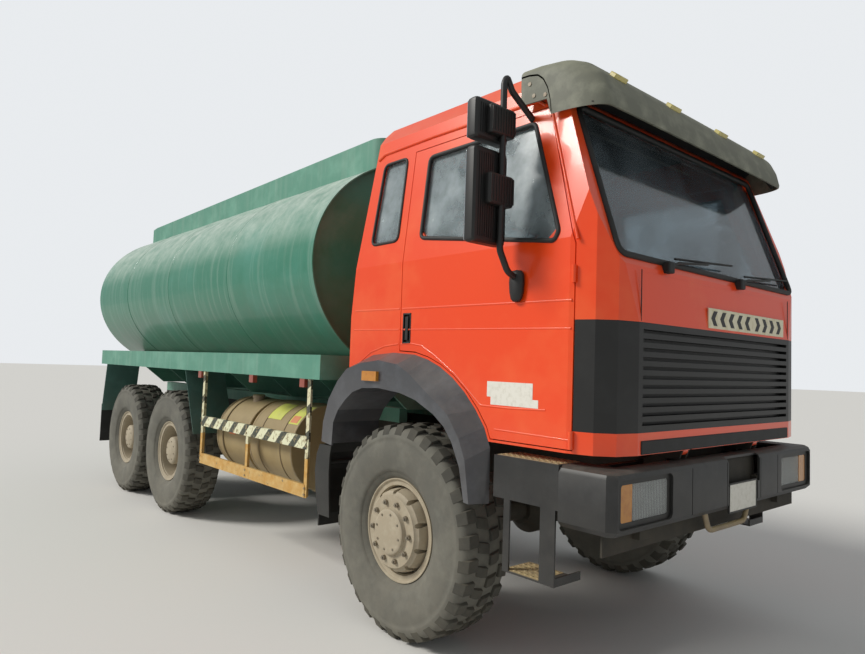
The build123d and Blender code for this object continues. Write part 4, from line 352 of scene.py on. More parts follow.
class Palette:
    """Makes each finish of the truck once and hands it out by name."""

    FINISHES = (
        # Alkyd paint over pressed steel: glossy, sun-bleached in patches, with road dust low down
        AgedFinish("cab_paint", "F04608", "F4622C", dust="C8B49A", roughness=0.3, coat=0.3, patch_mm=900,
                   patch_share=0.35, grain_mm=3, grain_depth_mm=0.03, dust_up=0.25, dust_low_m=0.9,
                   dust_high_m=1.35, low_share=0.12, dust_base=0.0),
        # Brushed-on enamel over rolled plate, chalked on top; darker below from dirt and painted shade
        AgedFinish("tank_paint", "1F775C", "358570", dust="CAD6CC", low_dust="4E5648", roughness=0.36,
                   coat=0.2, patch_mm=800, patch_share=0.4, grain_mm=9, grain_depth_mm=0.25, dust_up=0.85,
                   up_full=0.9, dust_low_m=1.45, dust_high_m=2.25, low_share=0.62, dust_base=0.03,
                   streaks=0.22),
        # Deck enamel, paler and more faded than the tank
        AgedFinish("deck_paint", "4C8C77", "66A08B", dust="B9C4B6", roughness=0.5, patch_mm=300, dust_up=0.4,
                   dust_low_m=0.7, dust_high_m=1.4, low_share=0.3, dust_base=0.06, streaks=0.2, wear="6B4A34",
                   wear_share=0.03),
        # Deck enamel darkened as painted shade for its place under the deck, with a film of mud
        AgedFinish("mudguard_paint", "3A6058", "46706A", dust="7C7868", roughness=0.7, patch_mm=200,
                   dust_up=0.3, dust_low_m=0.6, low_share=0.25),
        # Chassis black over cast and rolled steel, under a coat of fine sand
        AgedFinish("frame_paint", "1E1E1A", "2C2A25", dust="6E6452", roughness=0.75, patch_mm=150,
                   dust_low_m=0.3, dust_high_m=1.2, low_share=0.35, dust_base=0.08, wear="4A3022",
                   wear_share=0.03),
        # Stoved bumper paint, scraped to dull metal at the corners
        AgedFinish("bumper_paint", "1D1E1F", "2A2B2C", dust="7E7A70", roughness=0.42, patch_mm=120,
                   grain_mm=5, grain_depth_mm=0.3, dust_up=0.35, dust_low_m=0.4, dust_high_m=1.2,
                   low_share=0.12, wear="5E5B56", wear_share=0.03),
        # Grained mouldings, black gone grey in the sun
        AgedFinish("black_moulding", "131414", "1D1E1E", dust="6A675E", patch_mm=180, grain_mm=2.5,
                   dust_up=0.2, dust_low_m=0.6, dust_high_m=1.4, low_share=0.15, dust_base=0.02),
        # Fairly glossy arch moulding with dry brown mud wiped over it
        AgedFinish("arch_moulding", "404247", "53565C", dust="7C7468", roughness=0.3, coat=0.3, patch_mm=160,
                   dust_up=0.35, dust_low_m=0.8, dust_high_m=1.5, low_share=0.15),
        # Fibreglass hood, its black gel coat chalked to grey-green; its paler top is dust and a painted
        # highlight
        AgedFinish("visor_shell", "6C6E62", "8C8E7E", dust="A3A38C", roughness=0.62, patch_mm=140, grain_mm=4,
                   grain_depth_mm=0.25, dust_up=0.6, dust_base=0.03, wear="4A4B44", wear_share=0.05),
        # Inside of the hood: a near-black sheet, painted shade under the hood
        AgedFinish("visor_lining", "0E0E0E", "151515", dust="3A3833", roughness=0.9, patch_mm=90, dust_up=0.0,
                   dust_base=0.0),
        # Rubber seals and hoses
        AgedFinish("seal_rubber", "171818", "212325", dust="5A574E", roughness=0.6, patch_mm=90, grain_mm=2,
                   dust_up=0.2, low_share=0.2, dust_base=0.03),
        # Tyre rubber with dust worked into the sidewall, browner on the lugs
        AgedFinish("tyre_side", "585852", "6A6A62", dust="8B8678", roughness=0.85, patch_mm=120, grain_mm=5,
                   grain_depth_mm=0.5, dust_up=0.2, dust_low_m=0.1, dust_high_m=0.9, low_share=0.25,
                   dust_base=0.22),
        AgedFinish("tyre_lugs", "3C3C38", "4A4944", dust="6E6858", roughness=0.9, patch_mm=80, grain_mm=4,
                   grain_depth_mm=0.6, dust_up=0.3, dust_low_m=0.0, dust_high_m=0.9, low_share=0.3,
                   dust_base=0.15),
        # Wheel enamel, beige under dust, with rust at the flange
        AgedFinish("wheel_paint", "A89C86", "B8AE98", dust="A0957F", roughness=0.6, patch_mm=70, grain_mm=5,
                   grain_depth_mm=0.5, dust_up=0.2, dust_high_m=1.1, low_share=0.3, dust_base=0.22,
                   wear="7C4A32", wear_share=0.06),
        # Zinc-plated nuts, gone dull
        AgedFinish("nut_zinc", "8B857A", "6A5A4A", dust="9C917C", roughness=0.5, metallic=0.6, patch_mm=25,
                   low_share=0.4, dust_base=0.2),
        # Beige tank enamel with dried mud
        AgedFinish("fuel_tank_paint", "9A865C", "A89468", dust="9C8C6C", roughness=0.55, patch_mm=260,
                   dust_up=0.4, dust_low_m=0.5, dust_high_m=1.1, low_share=0.4, dust_base=0.1, wear="5C4430",
                   wear_share=0.04),
        # Steel straps and treads, bare and dusty
        AgedFinish("bare_steel", "86796A", "9A8C72", dust="C2AE80", roughness=0.55, metallic=0.35,
                   dust_up=0.85, dust_low_m=0.3, dust_high_m=1.4, low_share=0.4, dust_base=0.1, wear="6B4630",
                   wear_share=0.06),
        # Guard enamel: ochre below, white and yellow posts, both chipped to grey
        AgedFinish("guard_lower_paint", "C6923C", "D8B878", dust="B09A6C", roughness=0.6, patch_mm=55,
                   patch_share=0.8, grain_mm=4, grain_depth_mm=0.3, dust_up=0.4, dust_low_m=0.3,
                   dust_high_m=0.9, low_share=0.4, dust_base=0.08, wear="6E6652", wear_share=0.12),
        # Woven seat cloth, dark, with a little sheen
        AgedFinish("seat_cloth", "2C2E33", "3A3D44", dust="5A5850", roughness=0.9, patch_mm=40, grain_mm=3,
                   grain_depth_mm=0.8),
        # Pale curtain cloth, washed thin
        AgedFinish("curtain_cloth", "C9CCC6", "B4B8B4", dust="A8A69C", roughness=0.95, grain_mm=2,
                   grain_depth_mm=0.3, dust_base=0.08),
        # Grained cab lining of dark fibreboard
        AgedFinish("cab_lining", "2A2C2E", "35383A", dust="5C5A52", roughness=0.85, patch_mm=120, grain_mm=3),
        # Cast aluminium and iron under oil and dust
        AgedFinish("cast_iron", "2E2C28", "3C3832", dust="5E5444", roughness=0.75, metallic=0.3,
                   grain_depth_mm=0.6, low_share=0.4, dust_base=0.12),
        # Blank paper and vinyl labels, sun-faded
        AgedFinish("white_label", "E4E2D8", "D2CFC2", roughness=0.5, patch_mm=30, grain_mm=4,
                   grain_depth_mm=0.02, low_share=0.05),
        AgedFinish("yellow_label", "D9E23A", "C8D044", grain_mm=4, grain_depth_mm=0.02, low_share=0.1),
        AgedFinish("orange_label", "E27A34", "CC7440", grain_mm=4, grain_depth_mm=0.02, low_share=0.1),
        AgedFinish("cream_plate", "E6E0C4", "D2C8A0", patch_mm=50, grain_mm=3, grain_depth_mm=0.02,
                   low_share=0.05),
        # Moulded lamp lenses
        AgedFinish("amber_lens", "C27F24", "B06C1C", dust="A8946C", roughness=0.2, ior=1.49, coat=0.4,
                   patch_mm=40, low_share=0.1, dust_base=0.05),
        AgedFinish("pale_lens", "C9BE72", "B8AA62", dust="A8946C", roughness=0.25, ior=1.49, coat=0.4,
                   patch_mm=40, low_share=0.1, dust_base=0.08),
        AgedFinish("red_lens", "8E3A2C", "A04A38", dust="A8846C", roughness=0.3, ior=1.49, coat=0.3,
                   patch_mm=40, low_share=0.15, dust_base=0.1),
        # Silvered reflector behind the lamp glass
        AgedFinish("reflector", "C8CACA", "B2B4B4", roughness=0.18, metallic=0.95, patch_mm=400, grain_mm=8,
                   grain_depth_mm=0.02, dust_up=0.0, dust_base=0.0),
        AgedFinish("mirror_glass", "C8D2D6", "B8C4C8", roughness=0.05, metallic=0.95, patch_mm=400,
                   grain_mm=8, grain_depth_mm=0.0, dust_up=0.0, dust_base=0.0),
        # Hand-painted warning stripes on the guard
        StripedFinish("guard_stripes", "E2E2C0", "42463C", 205, 0.42, 1.1),
        StripedFinish("post_stripes", "DCD8B4", "4A4C40", 300, 0.34, 1.6),
        # Rolled side glass under a film of dust, laminated screen, pressed lamp glass
        ClearFinish("window_glass", "C2D0D4", dust="B4C0C4", dust_share=0.62),
        # The screen's darker blue-grey patches are painted shade of the cab's inside and a painted sky
        # reflection
        ClearFinish("screen_glass", "A9B8C0", dust="74858F", dust_share=0.16, transmission=0.94),
        ClearFinish("lamp_glass", "D8DCDA", dust_share=0.3, ribs_mm=14, transmission=0.75),
    )

    def __init__(self) -> None:
        """Starts with no material made."""
        self.made: dict[str, bpy.types.Material] = {}

    def get(self, name: str) -> bpy.types.Material:
        """Hands out a finish by name, made at its first use.

        Args:
            name: the finish's name.

        Returns:
            The material.
        """
        if name not in self.made:
            finish = next(item for item in self.FINISHES if item.name == name)
            self.made[name] = finish.build()
        return self.made[name]


# Mesh building


def new_object(name: str, data: bpy.types.ID) -> bpy.types.Object:
    """Puts a new object with its data into the scene.

    Args:
        name: the object's name.
        data: its mesh, curve, lamp or camera.

    Returns:
        The object.
    """
    made = bpy.data.objects.new(name, data)
    bpy.context.scene.collection.objects.link(made)
    return made


def mesh_object(name: str, mesh: Mesh) -> bpy.types.Object:
    """Puts a working mesh into the scene as an object, and frees it.

    Args:
        name: the object's name.
        mesh: its geometry.

    Returns:
        The object.
    """
    data = bpy.data.meshes.new(name)
    mesh.to_mesh(data)
    mesh.free()
    return new_object(name, data)


def evaluated_mesh(obj: bpy.types.Object) -> bpy.types.Mesh:
    """Copies an object's mesh as its modifiers or its curve make it."""
    bpy.context.view_layer.update()
    return bpy.data.meshes.new_from_object(obj.evaluated_get(bpy.context.evaluated_depsgraph_get()))


class Workshop:
    """Builds meshes, dresses them and hangs them on the truck's bodies."""

    def __init__(self, palette: Palette, nodes: dict[str, bpy.types.Object]) -> None:
        """Keeps the finishes and the solids to dress.

        Args:
            palette: the finishes.
            nodes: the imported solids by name.
        """
        self.palette = palette
        self.nodes = nodes
        self.count = 0

    def dress(self, node: str, finish: str, bevel_mm: float = 0.0,
              smooth_deg: float = 32.0) -> bpy.types.Object:
        """Gives a solid its finish, softened edges and smooth shading.

        Args:
            node: the solid's name.
            finish: the finish's name.
            bevel_mm: width of the softened edges, none at 0.
            smooth_deg: largest angle between faces that shades as one surface.

        Returns:
            The solid's object.
        """
        obj = self.nodes[node]
        obj.data.materials.clear()
        obj.data.materials.append(self.palette.get(finish))
        self.soften(obj, bevel_mm, smooth_deg)
        return obj

    def soften(self, obj: bpy.types.Object, bevel_mm: float, smooth_deg: float) -> None:
        """Adds edge rounding and angle-limited smooth shading to an object.

        Args:
            obj: the object.
            bevel_mm: width of the softened edges, none at 0.
            smooth_deg: largest angle that shades as one surface.
        """
        if bevel_mm > 0.0:
            rounding = obj.modifiers.new("edges", "BEVEL")
            rounding.width = mm(bevel_mm)
            rounding.segments = 2
            rounding.limit_method = "ANGLE"
            rounding.angle_limit = math.radians(40.0)
            rounding.harden_normals = False
        for face in obj.data.polygons:
            face.use_smooth = True
        bpy.context.view_layer.objects.active = obj
        for other in bpy.context.selected_objects:
            other.select_set(False)
        obj.select_set(True)
        obj.data.set_sharp_from_angle(angle=math.radians(smooth_deg))

    def add(self, name: str, mesh: Mesh, finish: str, body: str, slot: str, bevel_mm: float = 0.0,
            smooth_deg: float = 35.0, replaces: Iterable[str] = ()) -> bpy.types.Object:
        """Turns a mesh into a piece of the truck.

        Args:
            name: the piece's name.
            mesh: its geometry, freed here.
            finish: the finish's name.
            body: the body that it rides on.
            slot: the record's material slot; not used.
            bevel_mm: width of the softened edges.
            smooth_deg: largest angle that shades as one surface.
            replaces: solids that it stands for.

        Returns:
            The new object.
        """
        bmesh.ops.recalc_face_normals(mesh, faces=mesh.faces)
        obj = mesh_object(name, mesh)
        obj.data.materials.append(self.palette.get(finish))
        self.soften(obj, bevel_mm, smooth_deg)
        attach(obj, body)
        for node in replaces:
            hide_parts(node)
        self.count += 1
        return obj

    def carve(self, obj: bpy.types.Object, cutters: Mesh, smooth_deg: float = 30.0) -> None:
        """Cuts closed volumes out of a piece for good.

        Args:
            obj: the piece, without modifiers.
            cutters: the volumes, freed here.
            smooth_deg: largest angle that shades as one surface.
        """
        bmesh.ops.recalc_face_normals(cutters, faces=cutters.faces)
        cutter = mesh_object(obj.name + "_cutter", cutters)
        cut = obj.modifiers.new("carve", "BOOLEAN")
        cut.operation = "DIFFERENCE"
        cut.object = cutter
        cut.solver = "EXACT"
        result = evaluated_mesh(obj)
        obj.modifiers.clear()
        old, obj.data = obj.data, result
        bpy.data.meshes.remove(old)
        bpy.data.objects.remove(cutter)
        self.soften(obj, 0.0, smooth_deg)

    def tube(self, name: str, points: Sequence[Point], radius: float, finish: str, body: str, slot: str,
             closed: bool = False, round_mm: float = 0.0) -> bpy.types.Object:
        """Makes a bent tube along points, as a mesh.

        Args:
            name: the piece's name.
            points: corner points in metres.
            radius: the tube's radius in metres.
            finish: the finish's name.
            body: the body that it rides on.
            slot: the record's material slot.
            closed: True for a loop.
            round_mm: radius of the bends at the corners.

        Returns:
            The new object.
        """
        path = [Vector(p) for p in points]
        if round_mm:
            path = round_corners(path, mm(round_mm), closed)
        curve = bpy.data.curves.new(name, "CURVE")
        curve.dimensions = "3D"
        spline = curve.splines.new("POLY")
        spline.points.add(len(path) - 1)
        for item, point in zip(spline.points, path):
            item.co = (*point, 1.0)
        spline.use_cyclic_u = closed
        curve.bevel_depth = radius
        curve.bevel_resolution = 3
        curve.use_fill_caps = not closed
        holder = new_object(name + "_path", curve)
        shape = evaluated_mesh(holder)
        bpy.data.objects.remove(holder)
        mesh = bmesh.new()
        mesh.from_mesh(shape)
        bpy.data.meshes.remove(shape)
        return self.add(name, mesh, finish, body, slot, 0.0, 50.0)


@dataclass
class Assembly:
    """A part of the truck that builds its own pieces."""

    shop: Workshop


def round_corners(points: list[Vector], radius: float, closed: bool) -> list[Vector]:
    """Replaces each corner of a path by five points of a bend.

    Args:
        points: the corners.
        radius: the bend's radius.
        closed: True for a loop.

    Returns:
        The finer path.
    """
    out: list[Vector] = []
    count = len(points)
    for i, here in enumerate(points):
        if not closed and i in (0, count - 1):
            out.append(here)
            continue
        back = points[i - 1] - here
        ahead = points[(i + 1) % count] - here
        half = (math.pi - back.angle(ahead)) / 2.0
        cut = min(radius * math.tan(half), back.length * 0.45, ahead.length * 0.45)
        first = here + back.normalized() * cut
        last = here + ahead.normalized() * cut
        for step in range(5):
            t = step / 4.0
            out.append(first * (1 - t) ** 2 + here * 2 * t * (1 - t) + last * t**2)
    return out


def box_into(mesh: Mesh, one: Point, other: Point) -> list[bmesh.types.BMVert]:
    """Adds a box to a mesh.

    Args:
        mesh: the mesh to add to.
        one: a corner in metres.
        other: the corner farthest from it.

    Returns:
        The box's vertices.
    """
    low = [min(pair) for pair in zip(one, other)]
    high = [max(pair) for pair in zip(one, other)]
    made = bmesh.ops.create_cube(mesh, size=1.0)["verts"]
    for vert in made:
        vert.co = Vector([low[k] + (vert.co[k] + 0.5) * (high[k] - low[k]) for k in range(3)])
    return made


def boxes(*corners: tuple[Point, Point]) -> Mesh:
    """Makes a mesh of boxes.

    Args:
        *corners: two opposite corners of each box, in metres.

    Returns:
        The new mesh.
    """
    mesh = bmesh.new()
    for one, other in corners:
        box_into(mesh, one, other)
    return mesh


def corners_of(first: float, last: float, low: float, high: float) -> list[Pair]:
    """Lists the four corners of a rectangle, one turn."""
    return [(first, low), (last, low), (last, high), (first, high)]


def oval(centre: Point, radii: Pair, plane: str, count: int, start: float = 0.0) -> list[Vector]:
    """Points of an oval in one of the frame's planes.

    Args:
        centre: its middle in metres.
        radii: its two half widths in metres.
        plane: the two axes of the plane, such as "yz".
        count: number of points.
        start: angle of the first point, from the plane's first axis.

    Returns:
        The points, one turn.
    """
    axes = ["xyz".index(letter) for letter in plane]
    out = []
    for i in range(count):
        angle = start + 2 * math.pi * i / count
        spot = list(centre)
        spot[axes[0]] += radii[0] * math.cos(angle)
        spot[axes[1]] += radii[1] * math.sin(angle)
        out.append(Vector(spot))
    return out


def circle(centre: Point, radius: float, plane: str, count: int, start: float = 0.0) -> list[Vector]:
    """Points of a circle in one of the frame's planes, as oval gives them."""
    return oval(centre, (radius, radius), plane, count, start)


def rings_into(mesh: Mesh, rings: Sequence[Sequence[Vector]], cap_first: bool = False,
               cap_last: bool = False, closed: bool = True) -> None:
    """Skins rings of equal length, each joined to the next.

    Args:
        mesh: the mesh to add to.
        rings: points of each ring.
        cap_first: closes the first ring.
        cap_last: closes the last ring.
        closed: True where each ring closes on itself.
    """
    rows = [[mesh.verts.new(p) for p in ring] for ring in rings]
    count = len(rows[0])
    span = count if closed else count - 1
    for row, nxt in zip(rows, rows[1:]):
        for i in range(span):
            j = (i + 1) % count
            mesh.faces.new((row[i], row[j], nxt[j], nxt[i]))
    if cap_first:
        mesh.faces.new(rows[0])
    if cap_last:
        mesh.faces.new(list(reversed(rows[-1])))


def lathe_into(mesh: Mesh, profile: Sequence[Pair], centre: Point, side: int, segments: int) -> None:
    """Turns a closed profile of (w, r) millimetres about an axle along X.

    Args:
        mesh: the mesh to add to.
        profile: points of distance outward and radius, one loop.
        centre: middle of the wheel in metres.
        side: sign of x that counts as outward.
        segments: steps round the circle.
    """
    rings = [circle((centre[0] + side * mm(w), centre[1], centre[2]), mm(r), "yz", segments)
             for w, r in [*profile, profile[0]]]
    rings_into(mesh, rings)
    bmesh.ops.remove_doubles(mesh, verts=mesh.verts, dist=1e-6)


def prism_into(mesh: Mesh, outline: Sequence[Vector], push: Vector) -> None:
    """Adds a prism made by moving a flat outline along a vector."""
    rings_into(mesh, [outline, [p + push for p in outline]], True, True)


def plate_mesh(outline: Sequence[Pair], y: float, depth: float) -> Mesh:
    """Makes a mesh of an upright plate across the truck.

    Args:
        outline: its (x, z) points in metres.
        y: where its front is.
        depth: how far it reaches back.

    Returns:
        The new mesh.
    """
    mesh = bmesh.new()
    prism_into(mesh, [Vector((x, y, z)) for x, z in outline], Vector((0, depth, 0)))
    return mesh


def rounded_outline(pane: Pane, radius: float, sign: int = 1, steps: int = 4) -> list[Pair]:
    """Outline of a pane with rounded corners.

    Args:
        pane: its two x and its two z, in metres.
        radius: the corner radius.
        sign: 1, or -1 for the same pane on the truck's other side.
        steps: pieces of each corner.

    Returns:
        The (x, z) points, one turn.
    """
    low, high = sorted((sign * pane[0], sign * pane[1]))
    out = []
    for cx, cy, start in ((high - radius, pane[3] - radius, 0.0), (low + radius, pane[3] - radius, 0.5),
                          (low + radius, pane[2] + radius, 1.0), (high - radius, pane[2] + radius, 1.5)):
        for i in range(steps + 1):
            a = math.pi * (start + 0.5 * i / steps)
            out.append((cx + radius * math.cos(a), cy + radius * math.sin(a)))
    return out


def frame_into(mesh: Mesh, outer: Sequence[Pair], inner: Sequence[Pair], y: Pair) -> None:
    """Adds a flat ring between two outlines of (x, z) with a depth along y.

    Args:
        mesh: the mesh to add to.
        outer: the outer (x, z) points in metres.
        inner: the inner points, as many.
        y: where its front and its back are.
    """
    rings = [[Vector((x, y[0], z)) for x, z in outer], [Vector((x, y[0], z)) for x, z in inner],
             [Vector((x, y[1], z)) for x, z in inner], [Vector((x, y[1], z)) for x, z in outer]]
    rings_into(mesh, rings + [rings[0]])
    bmesh.ops.remove_doubles(mesh, verts=mesh.verts, dist=1e-6)


def lathe_ring(mesh: Mesh, centre: Point, radius: float, height: float, width: float) -> None:
    """Adds a flat band round an axle along Y.

    Args:
        mesh: the mesh to add to.
        centre: middle of the band in metres.
        radius: its inner radius.
        height: its thickness outward.
        width: its width along Y.
    """
    foot = radius - 0.004
    rows = [circle((centre[0], centre[1] + dy, centre[2]), r, "xz", 56)
            for r, dy in ((foot, -width / 2), (radius + height, -width / 2), (radius + height, width / 2),
                          (foot, width / 2))]
    rings_into(mesh, rows + [rows[0]])
    bmesh.ops.remove_doubles(mesh, verts=mesh.verts, dist=1e-6)


def pillow_into(mesh: Mesh, low: Point, high: Point, crown: float, squeeze: float, channels: int = 0) -> None:
    """Fills an empty mesh with a stuffed pad, full in the middle and drawn in at its seams.

    Args:
        mesh: the empty mesh.
        low: lower corner of its box in metres.
        high: upper corner.
        crown: how much fuller the middle is than the seam, in metres.
        squeeze: how far the sides pull in between the corners, in metres.
        channels: number of sewn grooves across the top.
    """
    bmesh.ops.create_cube(mesh, size=2.0)
    bmesh.ops.subdivide_edges(mesh, edges=list(mesh.edges), cuts=13, use_grid_fill=True)
    half = [(h - l) / 2 for l, h in zip(low, high)]
    middle = [(h + l) / 2 for l, h in zip(low, high)]
    for vert in mesh.verts:
        u, v, w = vert.co
        sides = [1.0 - abs(c) ** 6 for c in (u, v, w)]
        x = half[0] * u - math.copysign(squeeze * (1 - v**2), u) * abs(u) ** 3
        y = half[1] * v - math.copysign(squeeze * (1 - u**2), v) * abs(v) ** 3
        fall = crown * (1.0 - (1 - u**4) * (1 - v**4))
        groove = 0.0
        if channels and w > 0.5:
            place = (v + 1.0) / 2.0 * channels
            groove = 0.010 * max(0.0, 1.0 - abs(place - round(place)) * 9.0) * sides[0] * sides[1]
        z = w * (half[2] - fall) - math.copysign(groove, w)
        corner = 1.0 - 0.10 * (abs(u) ** 8 + abs(v) ** 8) * abs(w) ** 4
        vert.co = Vector((middle[0] + x * corner, middle[1] + y * corner, middle[2] + z))


# Wheels


@dataclass
class RoadWheel(Assembly):
    """One wheel: carcass with lugs, rim, disc, hub and nuts."""

    axle: str
    side: Side
    y: float
    middle_x_mm: float
    front: bool
    radius_mm: float = 620.0
    pitches: int = 30
    lug_height_mm: float = 21.0
    nut_circle_mm: float = 168.0
    nut_count: int = 10
    hole_count: int = 10
    cap_bolt_count: int = 8
    nut_mm: Pair = (15.5, 17.0)
    stud_mm: Pair = (7.5, 9.0)
    cap_bolt_mm: Pair = (7.0, 5.0)
    flange: Outline = ((139, 299), (139, 293), (136, 288), (129, 284), (124, 268), (110, 254))
    front_disc: Outline = ((88, 250), (62, 249), (70, 243), (132, 238), (168, 228), (176, 216), (186, 208),
                           (189.5, 206), (189.5, 136), (196, 132), (212, 128), (216, 122), (217.5, 112),
                           (217.5, 0), (60, 0), (60, 205), (40, 245))
    rear_disc: Outline = ((60, 251), (-60, 250), (-66, 244), (-44, 226), (-30, 212), (-24, 206), (-24, 146),
                          (-16, 142), (60, 140), (96, 138), (104, 134), (112, 124), (118, 112), (118, 60),
                          (121, 54), (121, 0), (-60, 0), (-60, 205), (-90, 246))
    bead_seat: Outline = ((-110, 246), (-124, 262), (-130, 284), (-139, 293), (-139, 299), (-128, 299),
                          (-126, 258), (126, 258), (128, 299))
    carcass: Outline = ((112, 262), (126, 263), (127, 300), (134, 306), (141, 312), (149, 322), (158, 336),
                        (160, 339), (163, 340), (171, 362), (179, 392), (185, 425), (187, 455), (186.5, 485),
                        (183, 512), (179, 530), (181, 534), (180, 544), (176, 556), (169, 572), (160, 584),
                        (148, 593), (130, 598), (90, 600), (45, 601), (0, 601.5))

    @property
    def centre(self) -> Point:
        """Middle of the wheel in metres."""
        return (self.side.value * mm(self.middle_x_mm), self.y, AXLE_Z)

    @property
    def body(self) -> str:
        """The body that this wheel turns with."""
        return f"{self.axle}_{self.side.word}_road_wheel"

    def build(self) -> None:
        """Builds the tyre, the rim and the nuts."""
        self.build_tyre()
        self.build_rim()
        self.build_nuts()

    def build_tyre(self) -> None:
        """Turns the carcass and lays the lugs round it."""
        name = f"{self.axle}_{self.side.word}"
        mesh = bmesh.new()
        half = list(self.carcass)
        profile = half + [(-w, r) for w, r in reversed(half[:-1])]
        lathe_into(mesh, profile, self.centre, 1, 96)
        carcass = self.shop.add(name + "_carcass", mesh, "tyre_side", self.body, "tyre_rubber", 0.0, 60.0,
                                replaces=[f"{self.axle}_tyre_{self.side.word}"])
        lugs = bmesh.new()
        step = 2 * math.pi / self.pitches
        for i in range(self.pitches):
            base = i * step
            for hand in (1, -1):
                turn = base + (0.0 if hand > 0 else step * 0.5)
                self.lug(lugs, hand, turn, step * 0.60, ((88, 600), (150, 592), (176, 553)), 0.020)
                self.lug(lugs, hand, turn + step * 0.42, step * 0.50, ((8, 601), (50, 600.5), (80, 600)),
                         -0.028)
        self.shop.add(name + "_lugs", lugs, "tyre_lugs", self.body, "tyre_rubber", 3.0, 30.0)
        LOG.info("tyre %s with %d lugs", carcass.name, self.pitches * 4)

    def lug(self, mesh: Mesh, hand: int, angle: float, width: float, section: Sequence[Pair],
            skew: float) -> None:
        """Adds one tread block that follows the carcass section.

        Args:
            mesh: the mesh to add to.
            hand: sign of w.
            angle: middle of the block round the wheel.
            width: its angle at the foot.
            section: (w, r) points under the block.
            skew: how far the outer end is turned.
        """
        rings = []
        last = len(section) - 1
        for index, (w, r) in enumerate(section):
            high = self.lug_height_mm if index < last else 7.0
            top = min(r + high, self.radius_mm - 0.6) if index < last else r + high
            lean = skew * index / last
            ring = []
            for radius, half in ((r - 6, width / 2), (r - 6, -width / 2), (top, -width * 0.43),
                                 (top, width * 0.43)):
                a = angle + half + lean
                ring.append(Vector((self.centre[0] + hand * mm(w), self.centre[1] + mm(radius) * math.cos(a),
                                    self.centre[2] + mm(radius) * math.sin(a))))
            rings.append(ring)
        rings_into(mesh, rings, True, True)

    def rim_profile(self) -> list[Pair]:
        """Closed section of rim and disc, outward face first."""
        return [*self.flange, *(self.front_disc if self.front else self.rear_disc), *self.bead_seat]

    def build_rim(self) -> None:
        """Turns the rim and disc, and cuts the disc's hand holes."""
        mesh = bmesh.new()
        lathe_into(mesh, self.rim_profile(), self.centre, self.side.value, 72)
        name = f"{self.axle}_{self.side.word}_rim"
        rim = self.shop.add(name, mesh, "wheel_paint", self.body, "wheel_paint", 0.0, 30.0,
                            replaces=[f"{self.axle}_wheel_{self.side.word}"])
        pitch_mm, radius_mm = (226, 15) if self.front else (228, 16)
        holes = bmesh.new()
        x0 = self.centre[0] + self.side.value * mm(200)
        x1 = self.centre[0] - self.side.value * mm(140)
        for i in range(self.hole_count):
            a = 2 * math.pi * (i + 0.5) / self.hole_count
            y = self.centre[1] + mm(pitch_mm) * math.cos(a)
            z = self.centre[2] + mm(pitch_mm) * math.sin(a)
            prism_into(holes, circle((x0, y, z), mm(radius_mm), "yz", 16), Vector((x1 - x0, 0, 0)))
        self.shop.carve(rim, holes)

    def build_nuts(self) -> None:
        """Adds wheel nuts, and the small bolts of the hub cap."""
        mesh = bmesh.new()
        face_w = 189.5 if self.front else -24.0
        for i in range(self.nut_count):
            a = 2 * math.pi * i / self.nut_count
            self.hex_bolt(mesh, self.nut_circle_mm, a, face_w, *self.nut_mm)
            self.hex_bolt(mesh, self.nut_circle_mm, a, face_w + self.nut_mm[1], *self.stud_mm)
        ring, reach = (104, 217.5) if self.front else (96, 118.0)
        for i in range(self.cap_bolt_count):
            a = 2 * math.pi * (i + 0.3) / self.cap_bolt_count
            self.hex_bolt(mesh, ring, a, reach, *self.cap_bolt_mm)
        self.shop.add(f"{self.axle}_{self.side.word}_nuts", mesh, "nut_zinc", self.body, "wheel_paint", 1.0,
                      35.0)

    def hex_bolt(self, mesh: Mesh, pitch_mm: float, angle: float, face_mm: float,
                 radius_mm: float, height_mm: float) -> None:
        """Adds a hexagon head that stands on a face of the wheel.

        Args:
            mesh: the mesh to add to.
            pitch_mm: radius of the circle that its middle lies on.
            angle: its place round that circle.
            face_mm: how far outward the face is.
            radius_mm: the head's radius over its corners.
            height_mm: the head's height.
        """
        centre = (self.centre[0] + self.side.value * mm(face_mm - 1.0),
                  self.centre[1] + mm(pitch_mm) * math.cos(angle),
                  self.centre[2] + mm(pitch_mm) * math.sin(angle))
        prism_into(mesh, circle(centre, mm(radius_mm), "yz", 6, angle),
                   Vector((self.side.value * mm(height_mm + 1.0), 0, 0)))


# Tank


